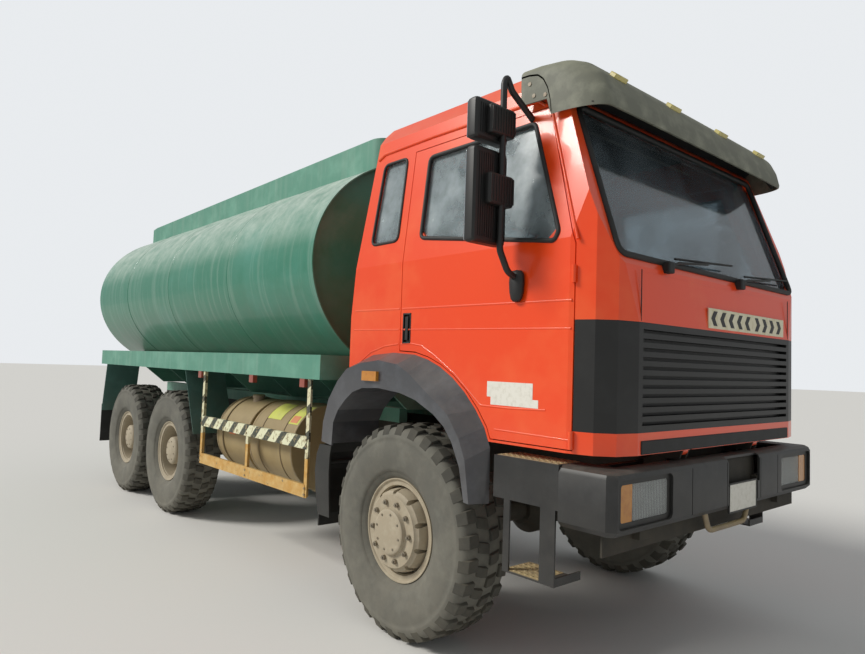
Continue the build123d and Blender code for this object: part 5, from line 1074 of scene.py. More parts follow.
@dataclass
class TankVessel(Assembly):
    """Oval tank with recessed dished heads, weld beads, manhole and outlet."""

    half_width_mm: float = 1150.0
    half_height_mm: float = 932.0
    centre_z_mm: float = 2373.0
    front_offset_mm: float = 1224.0
    rear_y: float = 4.115
    sheet_mm: float = 10.0
    recess_mm: float = 105.0
    dish_mm: float = 70.0
    around: int = 112
    steps: int = 24
    wave_mm: float = 1.4
    seams_mm: tuple[float, ...] = (1500.0, 3000.0, 4400.0)
    manhole_offset_mm: float = 3300.0
    neck_section: Outline = ((0.27, -0.05), (0.25, -0.02), (0.25, 0.055), (0.262, 0.06), (0.262, 0.07),
                             (0.238, 0.07), (0.238, -0.02))
    bolt_circle: float = 0.275

    def ring(self, y: float, shrink_mm: float, share: float = 1.0) -> list[Vector]:
        """Points of one oval section.

        Args:
            y: where it is along the tank.
            shrink_mm: how far it lies inside the tank's widest section.
            share: how much of that is left of its half widths.

        Returns:
            The points, one turn.
        """
        radii = (mm(self.half_width_mm - shrink_mm) * share, mm(self.half_height_mm - shrink_mm) * share)
        return oval((0.0, y, mm(self.centre_z_mm)), radii, "xz", self.around)

    def build(self) -> None:
        """Builds the shell, the heads, the beads and the fittings."""
        front, rear, lip = from_axle(self.front_offset_mm), self.rear_y, mm(self.recess_mm)
        rings = [self.ring(front + lip, self.sheet_mm), self.ring(front, self.sheet_mm),
                 self.ring(front, 0.0)]
        for i in range(1, self.steps):
            wave = self.wave_mm * math.sin(i * 1.7)
            rings.append(self.ring(front + (rear - front) * i / self.steps, 1.5 + wave))
        rings += [self.ring(rear, 0.0), self.ring(rear, self.sheet_mm), self.ring(rear - lip, self.sheet_mm)]
        shell = bmesh.new()
        rings_into(shell, rings)
        self.shop.add("tank_shell", shell, "tank_paint", "chassis", "tank_paint", 0.0, 40.0,
                      replaces=["tank"])
        heads = bmesh.new()
        for start, out in ((front + lip, -1.0), (rear - lip, 1.0)):
            rows = []
            for k in range(9):
                share = 1.0 - k / 8.5
                bulge = mm(self.dish_mm) * (1 - share**2) + mm(8) * (1 if k == 0 else 0)
                rows.append(self.ring(start + out * bulge, self.sheet_mm, share))
            rings_into(heads, rows, False, True)
        self.shop.add("tank_heads", heads, "tank_paint", "chassis", "tank_paint", 0.0, 40.0)
        beads = bmesh.new()
        for seam in self.seams_mm:
            y = front + mm(seam)
            rings_into(beads, [self.ring(y + mm(d), s) for d,
                               s in ((-7, 2.0), (-3, -2.0), (3, -2.0), (7, 2.0))])
        self.shop.add("tank_weld_beads", beads, "tank_paint", "chassis", "tank_paint", 0.0, 60.0)
        self.build_manhole()
        LOG.info("tank with %d weld beads", len(self.seams_mm))

    def build_manhole(self) -> None:
        """Adds the manhole neck with its hinge ears and swing bolts, and dresses the tank's other solids."""
        y = from_axle(self.manhole_offset_mm)
        top = mm(self.centre_z_mm + self.half_height_mm)
        neck = bmesh.new()
        rings_into(neck, [circle((0.0, y, top + rise), r, "xy", 40) for r, rise in self.neck_section])
        hinge_y = y + 0.295
        for sign in (1, -1):
            box_into(neck, (sign * 0.06, hinge_y - 0.02, top - 0.03),
                     (sign * 0.074, hinge_y + 0.018, top + 0.092))
        for i in range(6):
            a = math.pi * (i * 2 + 1) / 6 + math.pi
            x, bolt_y = self.bolt_circle * math.cos(a), y + self.bolt_circle * math.sin(a)
            if bolt_y > y + 0.2:
                continue
            box_into(neck, (x - 0.012, bolt_y - 0.012, top - 0.02), (x + 0.012, bolt_y + 0.012, top + 0.05))
        self.shop.add("manhole_neck", neck, "tank_paint", "chassis", "tank_paint", 1.5, 35.0)
        self.shop.dress("manhole_lid", "tank_paint", 3.0)
        self.shop.dress("tank_coaming", "deck_paint", 1.5, 40.0)
        self.shop.dress("outlet_pipe", "bare_steel", 1.0, 40.0)


# Cab


@dataclass
class CabShell(Assembly):
    """Painted cab with its glass, seals, creases, lining, curtains, wipers, chevrons and door handles."""

    front_mm: float = -1365.0
    half_width_mm: float = 1140.0
    top_half_width_mm: float = 1045.0
    belt_mm: float = 2230.0
    lean_top_mm: float = 3090.0
    cowl_mm: float = 2105.0
    cowl_setback_mm: float = 22.0
    screen_top_mm: float = 2985.0
    screen_setback_mm: float = 335.0
    rear_mm: float = 690.0
    back_break_mm: float = 1900.0
    back_lean: float = 0.112
    screen_pane_mm: Outline = ((-1025, 2150), (1025, 2150), (995, 2940), (-995, 2940))
    door_pane_mm: Outline = ((-2, 2365), (-1040, 2223), (-1062, 2270), (-840, 2879), (-2, 2879))
    quarter_pane_mm: Outline = ((225, 2375), (507, 2375), (466, 2925), (225, 2925))
    rear_pane: Pane = (0.205, 0.635, 2330, 2730)
    lining_inside_mm: float = 56.0
    lining_sheet: float = 0.006
    curtain_inside_mm: float = 92.0
    fold_count: float = 5.5
    fold_mm: float = 14.0
    chevron_count: int = 9
    chevron_pitch: float = 0.105
    chevron_width: float = 0.042

    def side_x(self, z_mm: float, proud_mm: float = 0.0) -> float:
        """Half width of the cab's skin at a height, in metres.

        Args:
            z_mm: the height.
            proud_mm: how far outside the skin.

        Returns:
            The half width.
        """
        if z_mm <= self.belt_mm:
            return mm(self.half_width_mm + proud_mm)
        share = (z_mm - self.belt_mm) / (self.lean_top_mm - self.belt_mm)
        return mm(self.half_width_mm + proud_mm + (self.top_half_width_mm - self.half_width_mm) * share)

    def screen_y(self, z_mm: float, proud_mm: float = 0.0) -> float:
        """y of the screen's plane at a height, in metres.

        Args:
            z_mm: the height.
            proud_mm: how far in front of the plane.

        Returns:
            The row-frame y.
        """
        share = (z_mm - self.cowl_mm) / (self.screen_top_mm - self.cowl_mm)
        setback = self.cowl_setback_mm + share * (self.screen_setback_mm - self.cowl_setback_mm)
        return from_axle(self.front_mm + setback - proud_mm)

    def rear_y(self, z_mm: float, inside_mm: float = 0.0) -> float:
        """y of the cab's back at a height, in metres."""
        lean = max(0.0, z_mm - self.back_break_mm) * self.back_lean
        return from_axle(self.rear_mm - lean - inside_mm)

    def build(self) -> None:
        """Dresses the cab's solids and adds its trim."""
        self.shop.dress("cab_body", "cab_paint", 6.0, 42.0)
        self.shop.dress("front_panel", "cab_paint", 4.0, 42.0)
        for side in Side:
            self.shop.dress(f"door_{side.word}", "cab_paint", 4.0, 42.0)
            self.shop.dress(f"door_glass_{side.word}", "window_glass")
        self.shop.dress("windscreen", "screen_glass")
        self.shop.dress("cab_windows", "window_glass")
        self.build_seals()
        self.build_creases()
        self.build_wipers()
        self.build_chevrons()
        self.build_door_fittings()
        self.build_lining()
        LOG.info("cab trim in place")

    def side_loop(self, side: Side, corners: Sequence[Pair], proud_mm: float) -> list[Point]:
        """Puts (y offset, z) corners on the cab's side."""
        return [(side.value * self.side_x(z, proud_mm), from_axle(y), mm(z)) for y, z in corners]

    def build_seals(self) -> None:
        """Adds the rubber round the screen, the side windows and the rear windows."""
        loop = [(mm(x), self.screen_y(z, 2.0), mm(z)) for x, z in self.screen_pane_mm]
        self.shop.tube("windscreen_seal", loop, mm(17), "seal_rubber", "cab", "black_plastic", True, 60)
        x0, x1, z0, z1 = self.rear_pane
        for side in Side:
            self.shop.tube(f"door_window_seal_{side.word}", self.side_loop(side, self.door_pane_mm, -1.0),
                           mm(13), "seal_rubber", f"{side.word}_door", "black_plastic", True, 40)
            self.shop.tube(f"quarter_window_seal_{side.word}",
                           self.side_loop(side, self.quarter_pane_mm, -1.0), mm(10), "seal_rubber", "cab",
                           "black_plastic", True, 45)
            back = [(side.value * x, self.rear_y(z), mm(z)) for x, z in corners_of(x0, x1, z0, z1)]
            self.shop.tube(f"rear_window_seal_{side.word}", back, mm(10), "seal_rubber", "cab",
                           "black_plastic", True, 40)

    def build_creases(self) -> None:
        """Adds the pressed lines of the sides, the gutters and the seams beside the front panel."""
        lines = (("rain_gutter", "cab", 9, 3.0,
                  ((-905, 2958), (-850, 3003), (0, 3012), (480, 3005), (545, 2975))),
                 ("pillar_gutter", "cab", 8, 2.0, ((-1180, 2215), (-930, 2970))),
                 ("door_waist_crease", "door", 8, -5.0, ((-1150, 1925), (138, 1935))),
                 ("door_low_crease", "door", 6, -3.5, ((-1148, 1790), (138, 1806))),
                 ("door_foot_crease", "door", 6, -3.5, ((-1150, 1262), (-672, 1268))),
                 ("door_arch_crease", "door", 7, -4.0,
                  ((138, 1714), (46, 1720), (-60, 1706), (-179, 1650), (-353, 1548), (-565, 1386),
                   (-773, 1384), (-1007, 1392))),
                 ("cab_waist_crease", "cab", 8, -5.0, ((162, 1935), (640, 1940))),
                 ("cab_low_crease", "cab", 6, -3.5, ((162, 1806), (650, 1812))),
                 ("cab_arch_crease", "cab", 7, -4.0,
                  ((162, 1716), (300, 1702), (450, 1662), (580, 1590), (660, 1525))))
        y = from_axle(self.front_mm) - 0.0005 + 0.0025
        for side in Side:
            seam = [(side.value * 0.880, y, z) for z in (1.836, 2.085)]
            self.shop.tube(f"front_panel_seam_{side.word}", seam, mm(2.6), "seal_rubber", "cab", "cab_paint")
            for name, place, radius, proud, points in lines:
                body = "cab" if place == "cab" else f"{side.word}_door"
                self.shop.tube(f"{name}_{side.word}", self.side_loop(side, points, proud), mm(radius),
                               "cab_paint", body, "cab_paint", False, 45)

    def build_lining(self) -> None:
        """Adds the dark lining behind the doors, on the back wall and under the roof, and the curtains."""
        lining = bmesh.new()
        inside = self.lining_inside_mm
        for side in Side:
            s = side.value
            for pane in ((165, 600, 1700, 2355), (165, 215, 2355, 2945), (518, 560, 2355, 2945),
                         (165, 520, 2945, 3090)):
                loop = self.side_loop(side, corners_of(*pane), -inside)
                prism_into(lining, [Vector(p) for p in loop], Vector((-s * self.lining_sheet, 0, 0)))
            for pane in ((0.205, 0.635, 1700, 2330), (0.205, 0.635, 2730, 3080), (0.635, 1.0, 1700, 3080),
                         (0.0, 0.205, 1700, 3080)):
                loop = [Vector((s * x, self.rear_y(z, inside), mm(z))) for x, z in corners_of(*pane)]
                prism_into(lining, loop, Vector((0, -self.lining_sheet, 0)))
        box_into(lining, (-0.93, from_axle(-760), 3.168), (0.93, from_axle(440), 3.178))
        self.shop.add("cab_lining", lining, "cab_lining", "cab", "black_plastic")
        for side in Side:
            folds = bmesh.new()
            rows = []
            for z in (2350.0, 2500.0, 2650.0, 2800.0, 2945.0):
                row = []
                for k in range(49):
                    t = k / 48.0
                    fold = self.fold_mm * math.sin(t * 2 * math.pi * self.fold_count)
                    wave = fold * (0.6 + 0.4 * math.cos(z * 0.01))
                    x = side.value * self.side_x(z, wave - self.curtain_inside_mm)
                    row.append(Vector((x, from_axle(205 + 325 * t), mm(z))))
                under = [p - Vector((side.value * 0.0015, 0, 0)) for p in reversed(row)]
                rows.append(row + under)
            rings_into(folds, rows, True, True)
            curtain = self.shop.add(f"quarter_curtain_{side.word}", folds, "curtain_cloth", "cab",
                                    "seat_cover", 0.0, 60.0)

    def build_wipers(self) -> None:
        """Adds two wiper arms with their blades, parked at the screen's foot."""
        for index, (pivot, tip) in enumerate(((-0.62, 0.06), (0.20, 0.90))):
            foot = (pivot, self.screen_y(2125.0, 22), 2.125)
            knee = (pivot + 0.10, self.screen_y(2160.0, 34), 2.160)
            end = ((pivot + tip) / 2 + 0.12, self.screen_y(2200.0, 26), 2.200)
            self.shop.tube(f"wiper_arm_{index}", [foot, knee, end], mm(7), "seal_rubber", "cab",
                           "black_plastic", False, 30)
            blade = [(end[0] - 0.33, self.screen_y(2215.0, 14), 2.190),
                     (end[0] + 0.33, self.screen_y(2215.0, 14), 2.235)]
            self.shop.tube(f"wiper_blade_{index}", blade, mm(6), "seal_rubber", "cab", "black_plastic")
            hub = boxes(((foot[0] - 0.028, foot[1] - 0.02, foot[2] - 0.03),
                         (foot[0] + 0.028, foot[1] + 0.03, foot[2] + 0.03)))
            self.shop.add(f"wiper_hub_{index}", hub, "seal_rubber", "cab", "black_plastic", 8.0)

    def build_chevrons(self) -> None:
        """Adds the warning strip with its row of arrows, off centre to the truck's left."""
        y = from_axle(self.front_mm) - 0.004
        strip = boxes(((-0.21, y, 1.845), (0.80, y + 0.008, 1.955)))
        self.shop.add("chevron_strip", strip, "cream_plate", "cab", "cab_paint", 1.0)
        arrows = bmesh.new()
        for i in range(self.chevron_count):
            x = -0.155 + i * self.chevron_pitch
            tip, width = (-0.03 if i < 5 else 0.03), self.chevron_width
            points = [(x, 1.86), (x + tip, 1.90), (x, 1.94), (x + width, 1.94), (x + tip + width, 1.90),
                      (x + width, 1.86)]
            prism_into(arrows, [Vector((px, y - 0.0015, pz)) for px, pz in points], Vector((0, 0.003, 0)))
        self.shop.add("chevron_arrows", arrows, "black_moulding", "cab", "black_plastic")

    def build_door_fittings(self) -> None:
        """Adds the sunk door handles and the blank label."""
        y0, y1, z0, z1 = from_axle(46), from_axle(124), 1.718, 1.906
        rim = ((y0, y0 + 0.010, z0, z1), (y1 - 0.010, y1, z0, z1), (y0, y1, z0, z0 + 0.010),
               (y0, y1, z1 - 0.010, z1))
        for side in Side:
            s = side.value
            x0 = s * mm(self.half_width_mm - 21)
            x1 = s * mm(self.half_width_mm + 3)
            plate = boxes(((x0, y0, z0), (x0 + s * 0.006, y1, z1)))
            for a, b, c, d in rim:
                box_into(plate, (x0, a, c), (x1, b, d))
            box_into(plate, (s * mm(self.half_width_mm - 12), y0 + 0.022, z0 + 0.022),
                     (s * mm(self.half_width_mm + 7), y0 + 0.050, z1 - 0.022))
            self.shop.add(f"door_handle_{side.word}", plate, "black_moulding", f"{side.word}_door",
                          "black_plastic", 2.5)
        x = -mm(self.half_width_mm + 1.2)
        label = boxes(((x, from_axle(-925), 1.437), (x + 0.002, from_axle(-612), 1.518)),
                      ((x, from_axle(-962), 1.396), (x + 0.002, from_axle(-640), 1.437)))
        self.shop.add("door_label", label, "white_label", "right_door", "cab_paint")


@dataclass
class MirrorSet(Assembly):
    """Two mirror heads on a bent tube arm, one set on each door. Heads and clamps give low and high z."""

    tube_x_mm: float = 1290.0
    inner_x_mm: float = 1222.0
    outer_x_mm: float = 1462.0
    y_offset_mm: float = -815.0
    glass_inset_mm: float = 12.0
    tube_mm: float = 17.0
    heads: tuple[tuple[str, float, float], ...] = (("upper", 2.725, 2.935), ("main", 2.205, 2.690))
    head_bevel: float = 0.028
    clamp_bevel: float = 0.016
    clamps: Outline = ((2.40, 2.56), (2.755, 2.905))
    foot_section: Outline = ((2.095, 0.004), (2.090, 0.030), (2.070, 0.044), (2.03, 0.047), (1.98, 0.043),
                             (1.945, 0.034), (1.932, 0.020), (1.930, 0.004))

    def build(self, cab: CabShell) -> None:
        """Builds both sets.

        Args:
            cab: the cab, for where its skin is.
        """
        y, reach, top = from_axle(self.y_offset_mm), self.tube_x_mm, cab.side_x(2870.0)
        for side in Side:
            s, word, body = side.value, side.word, f"{side.word}_door"
            bends = ((reach - 60, 3.010), (reach - 20, 3.072), (reach, 3.040), (reach, 2.180),
                     (reach - 60, 2.080), (cab.half_width_mm + 22, 2.050))
            tube = [(s * (top - 0.01), y, 2.905)] + [(s * mm(x), y, z) for x, z in bends]
            arm = self.shop.tube(f"mirror_arm_{word}", tube, mm(self.tube_mm), "black_moulding", body,
                                 "black_plastic", False, 60)
            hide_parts(f"mirror_{word}")
            for name, low, high in self.heads:
                self.head(side, body, name, low, high)
            x0, x1 = s * mm(self.inner_x_mm - 8), s * mm(self.outer_x_mm - 70)
            for index, (z0, z1) in enumerate(self.clamps):
                clamp = boxes(((x0, y - 0.020, z0), (x1, y + 0.060, z1)))
                bmesh.ops.bevel(clamp, geom=list(clamp.edges), offset=self.clamp_bevel, segments=3,
                                affect="EDGES", profile=0.5)
                for k in range(9):
                    x = x0 + (x1 - x0) * (k + 0.5) / 9
                    box_into(clamp, (x - 0.004, y - 0.0235, z0 + 0.014), (x + 0.004, y, z1 - 0.014))
                self.shop.add(f"mirror_clamp_{index}_{word}", clamp, "black_moulding", body, "black_plastic",
                              1.5)
            knob = bmesh.new()
            rings_into(knob, [oval((s * mm(cab.half_width_mm + 16), y, z), (s * r * 0.62, r), "xy", 20)
                              for z, r in self.foot_section], True, True)
            self.shop.add(f"mirror_foot_{word}", knob, "black_moulding", body, "black_plastic", 0.0, 60.0)

    def head(self, side: Side, body: str, word: str, low: float, high: float) -> None:
        """Adds one rounded head with its glass, facing the rear.

        Args:
            side: the door's side.
            body: the body that it rides on.
            word: the head's name.
            low: z of its lower edge in metres.
            high: z of its upper edge.
        """
        s = side.value
        y = from_axle(self.y_offset_mm) + 0.020
        inner, outer = s * mm(self.inner_x_mm), s * mm(self.outer_x_mm)
        shell = boxes(((inner, y, low), (outer, y + 0.075, high)))
        bmesh.ops.bevel(shell, geom=list(shell.edges), offset=self.head_bevel, segments=3, affect="EDGES",
                        profile=0.6)
        for k in range(13):
            x = inner + (outer - inner) * (k + 1.2) / 15.4
            box_into(shell, (x - 0.0035, y - 0.003, low + 0.03), (x + 0.0035, y + 0.01, high - 0.03))
        self.shop.add(f"mirror_{word}_head_{side.word}", shell, "black_moulding", body, "black_plastic")
        edge = mm(self.glass_inset_mm)
        pane = boxes(((min(inner, outer) + edge, y + 0.074, low + edge),
                      (max(inner, outer) - edge, y + 0.078, high - edge)))
        self.shop.add(f"mirror_{word}_glass_{side.word}", pane, "mirror_glass", body, "black_plastic", 1.0)


@dataclass
class FrontEnd(Assembly):
    """Grille, visor, bumper, lamps and plate. A pane gives two x and two z, in metres."""

    front_y: float = -4.115
    bumper_half: float = 1.165
    bumper_front_half: float = 1.130
    bumper_depth: float = 0.300
    bumper_sections: Outline = ((0.024, 0.858), (0.0, 0.884), (0.0, 1.112), (0.010, 1.132), (0.030, 1.143))
    groove_xs: tuple[float, ...] = (-0.462, -0.075, 0.355, 0.60)
    lamp_opening: Pane = (0.655, 1.124, 0.890, 1.110)
    bezel_outer: Pane = (0.650, 1.129, 0.886, 1.114)
    bezel_inner: Pane = (0.682, 1.082, 0.916, 1.084)
    headlamp: Pane = (0.678, 0.982, 0.910, 1.090)
    indicator: Pane = (0.986, 1.086, 0.910, 1.090)
    bowl_middle: Pair = (0.83, 1.0)
    bowl_radii: Pair = (0.148, 0.088)
    bowl_deep: float = 0.058
    plate: Pane = (-0.040, 0.298, 0.842, 0.992)
    plate_frame_outer: Pane = (-0.047, 0.305, 0.835, 0.999)
    plate_frame_inner: Pane = (-0.038, 0.296, 0.844, 0.990)
    loop_wire_mm: float = 15.0
    loop_corners: Outline = ((-0.272, 0.885), (-0.215, 0.763), (0.215, 0.763), (0.272, 0.885))
    visor_half_mm: float = 1110.0
    visor_corner_mm: float = 120.0
    visor_sheet_mm: float = 12.0
    visor_back_mm: float = -770.0
    visor_outline_mm: Outline = ((-772, 3201), (-900, 3197), (-1040, 3180), (-1130, 3140), (-1203, 3069),
                                 (-1245, 2985), (-1265, 2902))
    visor_cheek_mm: Outline = ((-968, 2892), (-945, 2972), (-772, 2980))
    visor_bolts_mm: Outline = ((-830, 3080), (-860, 3010), (-935, 2995))
    visor_lining_mm: Outline = ((-985, 2990), (-1020, 3100), (-1085, 3148), (-1172, 3092), (-1222, 3006),
                                (-1240, 2900))
    visor_lining_half: float = 1.070
    visor_lamp_xs: tuple[float, ...] = (-0.84, -0.29, 0.29, 0.84)
    visor_lamp_slope_deg: float = 38.0

    def build(self) -> None:
        """Dresses the grille and the small lamps, then builds the bumper, lamps, plate and visor."""
        self.shop.dress("grille", "black_moulding", 5.0, 42.0)
        self.shop.dress("marker_lamps", "amber_lens", 4.0)
        self.shop.dress("side_lamps", "red_lens", 3.0)
        self.build_bumper()
        self.build_lamps()
        self.build_plate()
        self.build_visor_shell()
        self.build_visor_parts()
        LOG.info("front end in place")

    def bumper_ring(self, inset: float, z: float) -> list[Vector]:
        """Points of the bumper's plan at a height.

        Args:
            inset: how far the plan is drawn in, in metres.
            z: the height.

        Returns:
            The points, from the left end to the right end.
        """
        y = self.front_y
        half = [(self.bumper_half - inset, y + self.bumper_depth),
                (self.bumper_half - inset, y + 0.040 + inset * 0.4),
                (self.bumper_front_half - inset * 0.4, y + inset)]
        return [Vector((x, py, z)) for x, py in half] + [Vector((-x, py, z)) for x, py in reversed(half)]

    def build_bumper(self) -> None:
        """Builds the grooved bumper channel with its lamp openings and plate bay, its stays and the loop."""
        y = self.front_y
        outer = bmesh.new()
        rings_into(outer, [self.bumper_ring(inset, z) for inset, z in self.bumper_sections], True, True)
        shell = self.shop.add("bumper_shell", outer, "bumper_paint", "chassis", "bumper_paint",
                              replaces=["front_bumper"])
        hollow = bmesh.new()
        inner = [Vector((p.x, p.y + (0.02 if p.y > y + 0.2 else 0.0), 0.874))
                 for p in self.bumper_ring(0.014, 0.0)]
        prism_into(hollow, inner, Vector((0, 0, 0.255)))
        self.shop.carve(shell, hollow)
        self.shop.carve(shell, boxes(((-0.975, y + 0.120, 0.80), (0.975, y + 0.33, 1.20))))
        for side in Side:
            opening = rounded_outline(self.lamp_opening, 0.030, side.value)
            self.shop.carve(shell, plate_mesh(opening, y - 0.02, 0.045))
        for bay in (((-0.06, y - 0.02, 0.985), (0.34, y + 0.03, 1.16)),
                    ((-0.056, y - 0.02, 0.826), (0.314, y + 0.008, 0.99))):
            self.shop.carve(shell, boxes(bay))
        grooves = [((x - 0.003, y - 0.02, 0.85), (x + 0.003, y + 0.003, 1.16)) for x in self.groove_xs]
        self.shop.carve(shell, boxes(*grooves))
        inside = boxes(((-0.31, y + 0.050, 0.880), (0.37, y + 0.062, 1.122)),
                       ((-1.095, y + 0.100, 0.748), (1.095, y + 0.112, 0.880)))
        for x in (-0.80, 0.80):
            box_into(inside, (x - 0.05, y + 0.06, 0.80), (x + 0.05, y + 0.11, 0.862))
        for side in Side:
            box_into(inside, (side.value * 0.33, y + 0.013, 0.91), (side.value * 0.37, y + 0.205, 1.01))
        self.shop.add("bumper_inside", inside, "frame_paint", "chassis", "bumper_paint", 2.0)
        loop = [(x, y + 0.036, z) for x, z in self.loop_corners]
        self.shop.tube("towing_loop", loop, mm(self.loop_wire_mm), "bare_steel", "chassis", "bumper_paint",
                       False, 60)
        valance = boxes(((-0.87, from_axle(-1371), 1.203), (0.87, from_axle(-1358), 1.268)))
        self.shop.add("front_valance", valance, "seal_rubber", "cab", "black_plastic", 4.0)

    def build_lamps(self) -> None:
        """Builds each lamp: bezel, ribbed glass with its reflector, and the amber lens beside it."""
        y = self.front_y
        for side in Side:
            s, word = side.value, side.word
            bezel = bmesh.new()
            frame_into(bezel, rounded_outline(self.bezel_outer, 0.032, s),
                       rounded_outline(self.bezel_inner, 0.014, s), (y + 0.015, y + 0.024))
            self.shop.add(f"lamp_bezel_{word}", bezel, "black_moulding", "chassis", "bumper_paint", 3.0)
            glass = plate_mesh(rounded_outline(self.headlamp, 0.014, s), y + 0.019, 0.008)
            lamp = self.shop.add(f"headlamp_glass_{word}", glass, "lamp_glass", "chassis", "lamp_glass", 2.0)
            amber = plate_mesh(rounded_outline(self.indicator, 0.010, s), y + 0.018, 0.06)
            lens = self.shop.add(f"indicator_lens_{word}", amber, "amber_lens", "chassis", "amber_plastic",
                                 3.0)
            x, z = s * self.bowl_middle[0], self.bowl_middle[1]
            rows = [circle((x, y + 0.088, z), 0.002, "xz", 40)]
            for t in (k / 6.0 for k in range(1, 7)):
                grow = math.sqrt(t)
                radii = (self.bowl_radii[0] * grow, self.bowl_radii[1] * grow)
                rows.append(oval((x, y + 0.088 - self.bowl_deep * t, z), radii, "xz", 40))
            bowl = bmesh.new()
            for push in (0.0, 0.003):
                rings_into(bowl, [[p + Vector((0, push, 0)) for p in row] for row in rows], True, False)
            self.shop.add(f"headlamp_bowl_{word}", bowl, "reflector", "chassis", "lamp_glass")
            if side is Side.LEFT:
                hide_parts("headlamps")
                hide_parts("front_indicators")

    def build_plate(self) -> None:
        """Adds the blank number plate in its thin frame."""
        y = self.front_y
        x0, x1, z0, z1 = self.plate
        plate = boxes(((x0, y + 0.0035, z0), (x1, y + 0.0055, z1)))
        self.shop.add("number_plate", plate, "white_label", "chassis", "bumper_paint")
        edge = bmesh.new()
        frame_into(edge, rounded_outline(self.plate_frame_outer, 0.008),
                   rounded_outline(self.plate_frame_inner, 0.004), (y + 0.001, y + 0.012))
        self.shop.add("number_plate_frame", edge, "black_moulding", "chassis", "bumper_paint", 1.0)

    def build_visor_shell(self) -> None:
        """Builds the thin hood over the screen, its end cheeks that reach back to the roof, and bolts."""
        path = round_corners([Vector((0.0, y, z)) for y, z in self.visor_outline_mm], 130.0, False)
        last = path[-1]
        hang = [Vector((0.0, last.y + back, last.z - 14.0)) for back in (3.0, 15.0)]
        inner = []
        for i, here in enumerate(path):
            ahead = path[min(i + 1, len(path) - 1)] - path[max(i - 1, 0)]
            inner.append(here + Vector((0.0, -ahead.z, ahead.y)).normalized() * self.visor_sheet_mm)
        ring = path + hang + list(reversed(inner))
        half, corner = self.visor_half_mm, self.visor_corner_mm
        stations = [t / 10.0 * (half - corner) for t in range(11)]
        stations += [half - corner + corner * math.sin(math.pi / 2 * t / 10.0) for t in range(1, 11)]
        rows = []
        for x in [-v for v in reversed(stations)] + stations[1:]:
            turn = max(0.0, (abs(x) - (half - corner)) / corner)
            keep = math.sqrt(max(0.0, 1.0 - min(turn, 1.0) ** 2))
            row = []
            for p in ring:
                y = self.visor_back_mm + (p.y - self.visor_back_mm) * (0.42 + 0.58 * keep)
                z = p.z - 60.0 * (1.0 - keep) * max(0.0, (p.z - 2900.0) / 300.0) - 5.0 * (x / half) ** 2
                row.append(Vector((mm(x), from_axle(y), mm(z))))
            rows.append(row)
        shell = bmesh.new()
        rings_into(shell, rows, True, True)
        for end in (rows[0], rows[-1]):
            cheek = [Vector((end[0].x, p.y, p.z)) for p in end[: len(path)]]
            cheek += [Vector((end[0].x, from_axle(y), mm(z))) for y, z in self.visor_cheek_mm]
            prism_into(shell, cheek, Vector((-math.copysign(0.010, end[0].x), 0.0, 0.0)))
        self.shop.add("visor_shell", shell, "visor_shell", "cab", "visor_plastic", 0.0, 50.0, ["sun_visor"])
        bolts = bmesh.new()
        for side in Side:
            for y, z in self.visor_bolts_mm:
                head = circle((side.value * 1.1070, from_axle(y), mm(z)), 0.012, "yz", 6)
                prism_into(bolts, head, Vector((side.value * 0.007, 0, 0)))
        self.shop.add("visor_bolts", bolts, "nut_zinc", "cab", "visor_plastic")

    def build_visor_parts(self) -> None:
        """Adds the near-black sheet under the hood, which paints the shade there, and the four lamps in its
        front.
        """
        # Near-black sheet under the hood: painted shade
        lining = bmesh.new()
        rows = []
        for y, z in self.visor_lining_mm:
            row = []
            for t in (-1.0 + k / 12.0 for k in range(25)):
                drop = 0.10 * abs(t) ** 6 * (1.0 if z > 2950 else 0.0)
                row.append(Vector((self.visor_lining_half * t, from_axle(y + 40 * abs(t) ** 8),
                                   mm(z) - drop)))
            rows.append(row + [p + Vector((0, 0.004, -0.003)) for p in reversed(row)])
        rings_into(lining, rows, True, True)
        self.shop.add("visor_lining", lining, "visor_lining", "cab", "visor_plastic", 0.0, 50.0)
        lamps = bmesh.new()
        slope = math.radians(self.visor_lamp_slope_deg)
        for x in self.visor_lamp_xs:
            for vert in box_into(lamps, (x - 0.055, -0.022, -0.010), (x + 0.055, 0.022, 0.016)):
                py, pz = vert.co.y, vert.co.z
                vert.co.y = from_axle(-1188) + py * math.cos(slope) - pz * math.sin(slope)
                vert.co.z = 3.088 + py * math.sin(slope) + pz * math.cos(slope)
        self.shop.add("visor_lamps", lamps, "pale_lens", "cab", "amber_plastic", 5.0)


